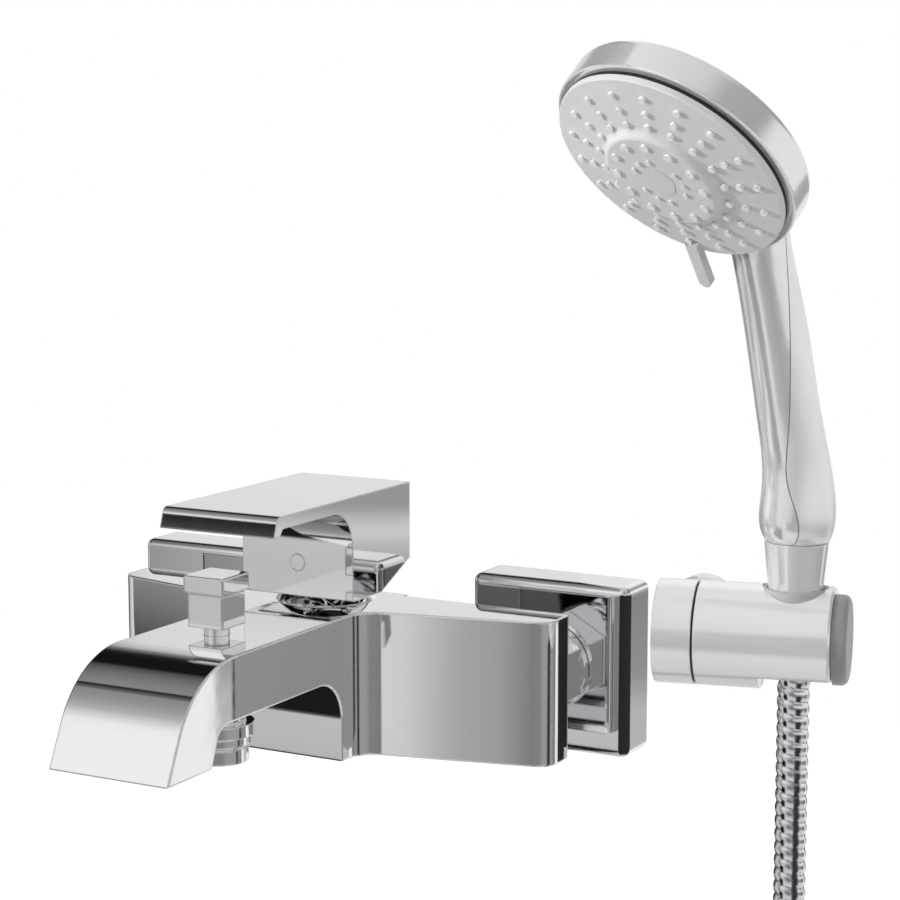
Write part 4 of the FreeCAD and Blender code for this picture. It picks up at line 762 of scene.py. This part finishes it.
@dataclass
class Cove(Board):
    """A bent board, whose greys go by the angle in degrees.

    The angle runs upwards from behind on a board that bends over, and rightwards from the front
    on one that bends round. The fade, where there is one, dims the greys along the board's line,
    by the place in metres.
    """

    bend: Bend
    radius: float
    low: float
    high: float
    tones: Tones
    fade: Tones = ()
    steps: int = 72
    # How far before its first grey the angle starts anew, in degrees.
    margin: float = 5.0

    def spoke(self, degrees: float, along: float) -> tuple[float, float, float]:
        """Return a place on the board.

        Args:
            degrees: The angle.
            along: The place along the line that the board bends about.

        Returns:
            The place in the board's own frame.
        """
        turn = math.radians(degrees)
        sine, cosine = self.radius * math.sin(turn), self.radius * math.cos(turn) * self.bend.start
        if self.bend is Bend.OVER:
            return (along, cosine, sine)
        return (sine, cosine, along)

    def build(self) -> None:
        """Build the board and stand it at its place."""
        first, last = self.tones[0][0], self.tones[-1][0]
        places, faces = [], []
        for step in range(self.steps + 1):
            degrees = first + (last - first) * step / self.steps
            places += [self.spoke(degrees, self.low), self.spoke(degrees, self.high)]
        for step in range(self.steps):
            start = 2 * step
            faces.append((start, start + 1, start + 3, start + 2))
        data = bpy.data.meshes.new(self.name)
        data.from_pydata(places, [], faces)
        data.materials.append(self.paint(first, last))
        board = self.stand(data)

    def paint(self, first: float, last: float) -> bpy.types.Material:
        """Return the board's paint.

        Args:
            first: The angle where the paint starts, in degrees.
            last: The angle where it ends.

        Returns:
            The material.
        """
        glow = Glow(self.name)
        turn = glow.maths("ARCTAN2", glow.place[self.bend.rise],
                          glow.maths("MULTIPLY", glow.place["Y"], self.bend.start))
        lowest = math.radians(first - self.margin)
        lifted = glow.maths("WRAP", turn, lowest + 2 * math.pi, lowest)
        round_share = glow.mapped(lifted, math.radians(first), math.radians(last))
        stops = [((degrees - first) / (last - first), level) for degrees, level in self.tones]
        glow.feed(glow.light.inputs["Color"], glow.greys(round_share, stops, Blend.STRAIGHT))
        if self.fade:
            along_share = glow.mapped(glow.place[self.bend.axis], self.low, self.high)
            stops = [((place - self.low) / (self.high - self.low), level) for place, level in self.fade]
            glow.feed(glow.light.inputs["Strength"], glow.greys(along_share, stops, Blend.STRAIGHT))
        return glow.material


@dataclass
class Boards:
    """The boards round the set, which give the plating its dark lines and soft changes.

    Their greys are chosen against the photograph.
    """

    left_centre: Vector = field(default_factory=lambda: Vector((0.0, -0.10, 0.02)))
    left_radius: float = 0.9
    left_edge: float = -0.29
    # The angle in front at which the long board gives way to the dark one below it.
    left_split: float = 210.0
    left_dark: float = 0.012

    def left(self) -> list[Cove]:
        """Return the long boards to the left, which the set's front and top faces mirror.

        Returns:
            The board that arches over from behind to the front, and the dark one that goes on
            below it.
        """
        over = (
            (-32.0, 0.02), (-18.0, 0.07), (-6.0, 0.16), (-1.0, 0.18), (4.0, 0.6), (9.0, 0.8),
            (12.0, 0.8), (24.0, 0.66), (34.0, 0.52), (40.0, 0.2), (48.0, 0.02), (56.0, 0.008),
            (72.0, 0.008), (76.0, 0.08), (84.0, 0.16), (96.0, 0.24), (114.0, 0.29), (122.0, 0.34),
            (132.0, 0.48), (138.0, 0.7), (146.0, 0.95), (160.0, 1.0), (168.0, 0.65), (178.0, 0.6),
            (188.0, 0.62), (192.0, 0.56), (197.0, 0.58), (201.0, 0.56), (204.0, 0.36), (207.0, 0.14),
            (self.left_split, self.left_dark))
        under = ((self.left_split, self.left_dark), (327.0, 0.01))
        across = (
            (-3.0, 0.5), (-2.2, 0.6), (-1.7, 0.6), (-1.2, 0.55), (-0.8, 0.6), (-0.72, 0.78),
            (-0.68, 1.0), (self.left_edge, 1.0))
        return [
            Cove("left_cove", self.left_centre, Bend.OVER, radius=self.left_radius,
                 low=-3.0, high=self.left_edge, tones=over, fade=across),
            Cove("left_under", self.left_centre, Bend.OVER, radius=self.left_radius,
                 low=-0.95, high=self.left_edge, tones=under)]

    def right(self) -> list[Cove]:
        """Return the boards right of the mixer.

        Returns:
            The low wall round the right, the small board round the right escutcheon's upright
            edge and the band round the hose.
        """
        wall = (
            (-14.0, 0.7), (-8.0, 0.72), (-6.0, 0.66), (-4.5, 0.53), (-2.8, 0.42), (-0.5, 0.37),
            (1.5, 0.22), (20.0, 0.24), (40.0, 0.24), (60.0, 0.34), (95.0, 0.34), (118.0, 0.22),
            (130.0, 0.24))
        edge = ((-12.0, 0.02), (118.0, 0.03))
        band = ((30.0, 0.3), (44.0, 0.04), (70.0, 0.03), (84.0, 0.25))
        return [
            Cove("right_wall", Vector((0.05, -0.08, 0.0)), Bend.ROUND, radius=0.6,
                 low=-0.26, high=-0.04, tones=wall),
            Cove("edge_board", Vector((0.1038, -0.0154, 0.0)), Bend.ROUND, radius=0.0045,
                 low=-0.036, high=0.029, tones=edge),
            Cove("hose_band", Vector((0.1745, -0.03, 0.0)), Bend.ROUND, radius=0.06,
                 low=-0.4, high=-0.012, tones=band)]

    def near(self) -> list[Cove | Card]:
        """Return the boards for single faces.

        Returns:
            The board before the lever's lip, and the flat one low behind the set.
        """
        lip = ((146.0, 0.006), (152.0, 0.03), (160.0, 0.09), (174.0, 0.18))
        rear = (
            (0.0, 0.6), (0.36, 0.5), (0.46, 0.3), (0.60, 0.26), (0.66, 0.5), (0.70, 0.66),
            (0.765, 0.34), (1.0, 0.28))
        return [
            Cove("lip_board", Vector((0.0, -0.15, 0.072)), Bend.OVER, radius=0.04,
                 low=-0.095, high=0.008, tones=lip),
            Card("rear_board", Vector((0.466, 0.834, -0.2)), faces=Vector((-0.104, 0.064, -0.1)),
                 width=0.4, height=0.38, tones=rear)]

    def build(self) -> None:
        """Build every board."""
        for board in (*self.left(), *self.right(), *self.near()):
            board.build()


@dataclass
class Room:
    """The surroundings: white to the camera, greys in reflections and a softer light elsewhere.

    The greys go by the angle from the front towards the right, in degrees. The horizon's lie
    level with the part, the skyline's above them. Each pair of angles says where one stretch of
    the room starts to give way to the next, and where the next has taken over. The last pair
    goes downwards.
    """

    light: float = 0.37
    horizon: Tones = (
        (-180.0, 0.95), (-150.0, 0.78), (-120.0, 0.45), (-98.0, 0.45), (-76.0, 0.75), (-45.0, 0.66),
        (-30.0, 0.58), (-14.0, 0.55), (0.0, 0.45), (10.0, 0.14), (20.0, 0.35), (36.0, 0.8),
        (90.0, 0.92), (135.0, 0.95), (180.0, 0.95))
    skyline: Tones = (
        (-180.0, 0.95), (-20.0, 0.85), (8.0, 0.6), (30.0, 0.3), (60.0, 0.25), (160.0, 0.25),
        (180.0, 0.95))
    skyline_rise: Pair = (8.0, 19.0)
    ceiling_grey: float = 0.62
    ceiling_rise: Pair = (42.0, 62.0)
    ground_grey: float = 0.7
    ground_fall: Pair = (25.0, 38.0)

    def ring(self, nodes: Nodes, share: Socket, tones: Tones) -> Socket:
        """Return a row of greys round the room.

        Args:
            nodes: The world's tree.
            share: The direction, from 0 to 1 round the room from behind.
            tones: Angles in degrees from the front, each with its grey.

        Returns:
            The grey's socket.
        """
        stops = [((degrees + 180.0) / 360.0, level) for degrees, level in tones]
        return nodes.greys(share, stops, Blend.EASED)

    def layered(self, nodes: Nodes, height: Socket, angles: Pair, first: Socket,
                second: object) -> Socket:
        """Lay one part of the room over another by the height.

        Args:
            nodes: The world's tree.
            height: The sine of the angle above the level, or below it for the ground.
            angles: Where the second part starts to show, and where it alone shows, in degrees.
            first: The grey of the part next to the level.
            second: The grey of the part beyond it, an output or a colour.

        Returns:
            The colour's socket.
        """
        start, end = (math.sin(math.radians(angle)) for angle in angles)
        rise = nodes.mapped(height, start, end, smooth=True)
        mix = nodes.add("ShaderNodeMix")
        mix.data_type = "RGBA"
        nodes.feed(mix.inputs["Factor"], rise)
        nodes.feed(mix.inputs["A"], first)
        nodes.feed(mix.inputs["B"], second)
        return mix.outputs["Result"]

    def mirrored(self, nodes: Nodes) -> Socket:
        """Return the greys that reflections see.

        Args:
            nodes: The world's tree.

        Returns:
            The colour's socket.
        """
        way = nodes.add("ShaderNodeSeparateXYZ")
        nodes.feed(way.inputs[0], nodes.add("ShaderNodeTexCoord").outputs["Generated"])
        turn = nodes.maths("ARCTAN2", way.outputs["X"], nodes.maths("MULTIPLY", way.outputs["Y"], -1.0))
        share = nodes.maths("ADD", nodes.maths("DIVIDE", turn, 2 * math.pi), 0.5)
        height = way.outputs["Z"]
        depth = nodes.maths("MULTIPLY", height, -1.0)
        room = self.layered(
            nodes, height, self.skyline_rise,
            self.ring(nodes, share, self.horizon), self.ring(nodes, share, self.skyline))
        room = self.layered(nodes, height, self.ceiling_rise, room, grey(self.ceiling_grey))
        return self.layered(nodes, depth, self.ground_fall, room, grey(self.ground_grey))

    def build(self) -> None:
        """Make the world."""
        world = bpy.data.worlds.new("studio")
        bpy.context.scene.world = world
        world.use_nodes = True
        nodes = Nodes(world.node_tree)
        reflected = nodes.add("ShaderNodeBackground")
        nodes.feed(reflected.inputs["Color"], self.mirrored(nodes))
        rays = nodes.add("ShaderNodeLightPath")
        seen = nodes.maths("MAXIMUM", rays.outputs["Is Camera Ray"], rays.outputs["Is Transmission Ray"])
        plain = nodes.add("ShaderNodeBackground")
        nodes.feed(plain.inputs["Color"], grey(1.0))
        nodes.feed(plain.inputs["Strength"], nodes.maths(
            "ADD", nodes.maths("MULTIPLY", seen, 1.0 - self.light), self.light))
        blend = nodes.add("ShaderNodeMixShader")
        nodes.feed(blend.inputs["Fac"], rays.outputs["Is Glossy Ray"])
        nodes.feed(blend.inputs[1], plain.outputs[0])
        nodes.feed(blend.inputs[2], reflected.outputs[0])
        nodes.feed(nodes.add("ShaderNodeOutputWorld").inputs["Surface"], blend.outputs[0])


@dataclass
class Floor:
    """The pale floor: white to the camera, with the part's soft shadow."""

    level: float = -1.1
    size: float = 8.0
    glow: float = 0.72
    roughness: float = 0.9
    tone_scale: float = 2.0
    dark: Colour = (0.93, 0.93, 0.93)
    pale: Colour = (0.97, 0.97, 0.97)

    def paint(self) -> bpy.types.Material:
        """Return the floor's paint.

        Returns:
            The material.
        """
        graph = Graph("pale_floor")
        graph.tint(graph.noise(self.tone_scale), self.dark, self.pale)
        rays = graph.add("ShaderNodeLightPath")
        graph.plain(
            Roughness=self.roughness, Specular_IOR_Level=0.0, Emission_Color=grey(1.0),
            Emission_Strength=graph.maths("MULTIPLY", rays.outputs["Is Camera Ray"], self.glow))
        return graph.material

    def build(self) -> None:
        """Lay the floor."""
        half = self.size / 2
        data = bpy.data.meshes.new("floor")
        data.from_pydata(
            [(-half, -half, 0), (half, -half, 0), (half, half, 0), (-half, half, 0)],
            [], [(0, 1, 2, 3)])
        data.materials.append(self.paint())
        floor = bpy.data.objects.new("floor", data)
        floor.location = (0.0, 0.0, self.level)
        bpy.context.scene.collection.objects.link(floor)
        floor.visible_glossy = False


@dataclass
class Lamp:
    """A soft square lamp: it lights the part, and no reflection shows it."""

    name: str
    place: Vector
    size: float
    watts: float

    def build(self, target: Vector) -> None:
        """Hang the lamp.

        Args:
            target: The point that it shines at.
        """
        light = bpy.data.lights.new(self.name, "AREA")
        light.size = self.size
        light.energy = self.watts
        lamp = bpy.data.objects.new(self.name, light)
        lamp.location = self.place
        lamp.rotation_mode = "QUATERNION"
        lamp.rotation_quaternion = (self.place - target).to_track_quat("Z", "Y")
        lamp.visible_glossy = False
        bpy.context.scene.collection.objects.link(lamp)


@dataclass
class Studio:
    """The room, the floor, the soft lamps and the boards."""

    centre: Vector = field(default_factory=lambda: Vector((0.03, -0.08, 0.02)))

    def build(self) -> None:
        """Set up the studio round the part."""
        Room().build()
        Floor().build()
        for lamp in (
                Lamp("key", Vector((-0.7, -1.2, 1.5)), size=0.6, watts=14.0),
                Lamp("fill", Vector((1.5, -0.8, 0.7)), size=0.8, watts=6.0),
                Lamp("side", Vector((-1.1, -0.75, 0.4)), size=0.15, watts=14.5)):
            lamp.build(self.centre)
        Boards().build()


@dataclass
class PhotoCamera:
    """The camera of the photograph: where it stands, how it is turned and its lens."""

    place: Vector = field(default_factory=lambda: Vector((0.43982, -0.76337, 0.19695)))
    azimuth: float = 28.595
    downward: float = 8.025
    lens: float = 92.0
    sensor: float = 36.0
    nearest: float = 0.01
    farthest: float = 50.0

    def build(self) -> None:
        """Make the camera and set it as the scene's."""
        data = bpy.data.cameras.new("camera")
        data.lens = self.lens
        data.sensor_width = self.sensor
        data.clip_start = self.nearest
        data.clip_end = self.farthest
        camera = bpy.data.objects.new("camera", data)
        camera.location = self.place
        camera.rotation_euler = (math.radians(90.0 - self.downward), 0.0, math.radians(self.azimuth))
        bpy.context.scene.collection.objects.link(camera)
        bpy.context.scene.camera = camera


def main() -> None:
    """Load the frame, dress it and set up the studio."""
    logging.basicConfig(level=logging.INFO, format="%(name)s: %(message)s")
    for thing in list(bpy.data.objects):
        bpy.data.objects.remove(thing)
    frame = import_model()
    bpy.context.scene.view_settings.view_transform = "Standard"
    PhotoCamera().build()
    wardrobe = Wardrobe()
    wardrobe.dress_nodes(frame)
    ShowerHose().build(wardrobe, frame)
    Studio().build()


if __name__ == "__main__":
    main()
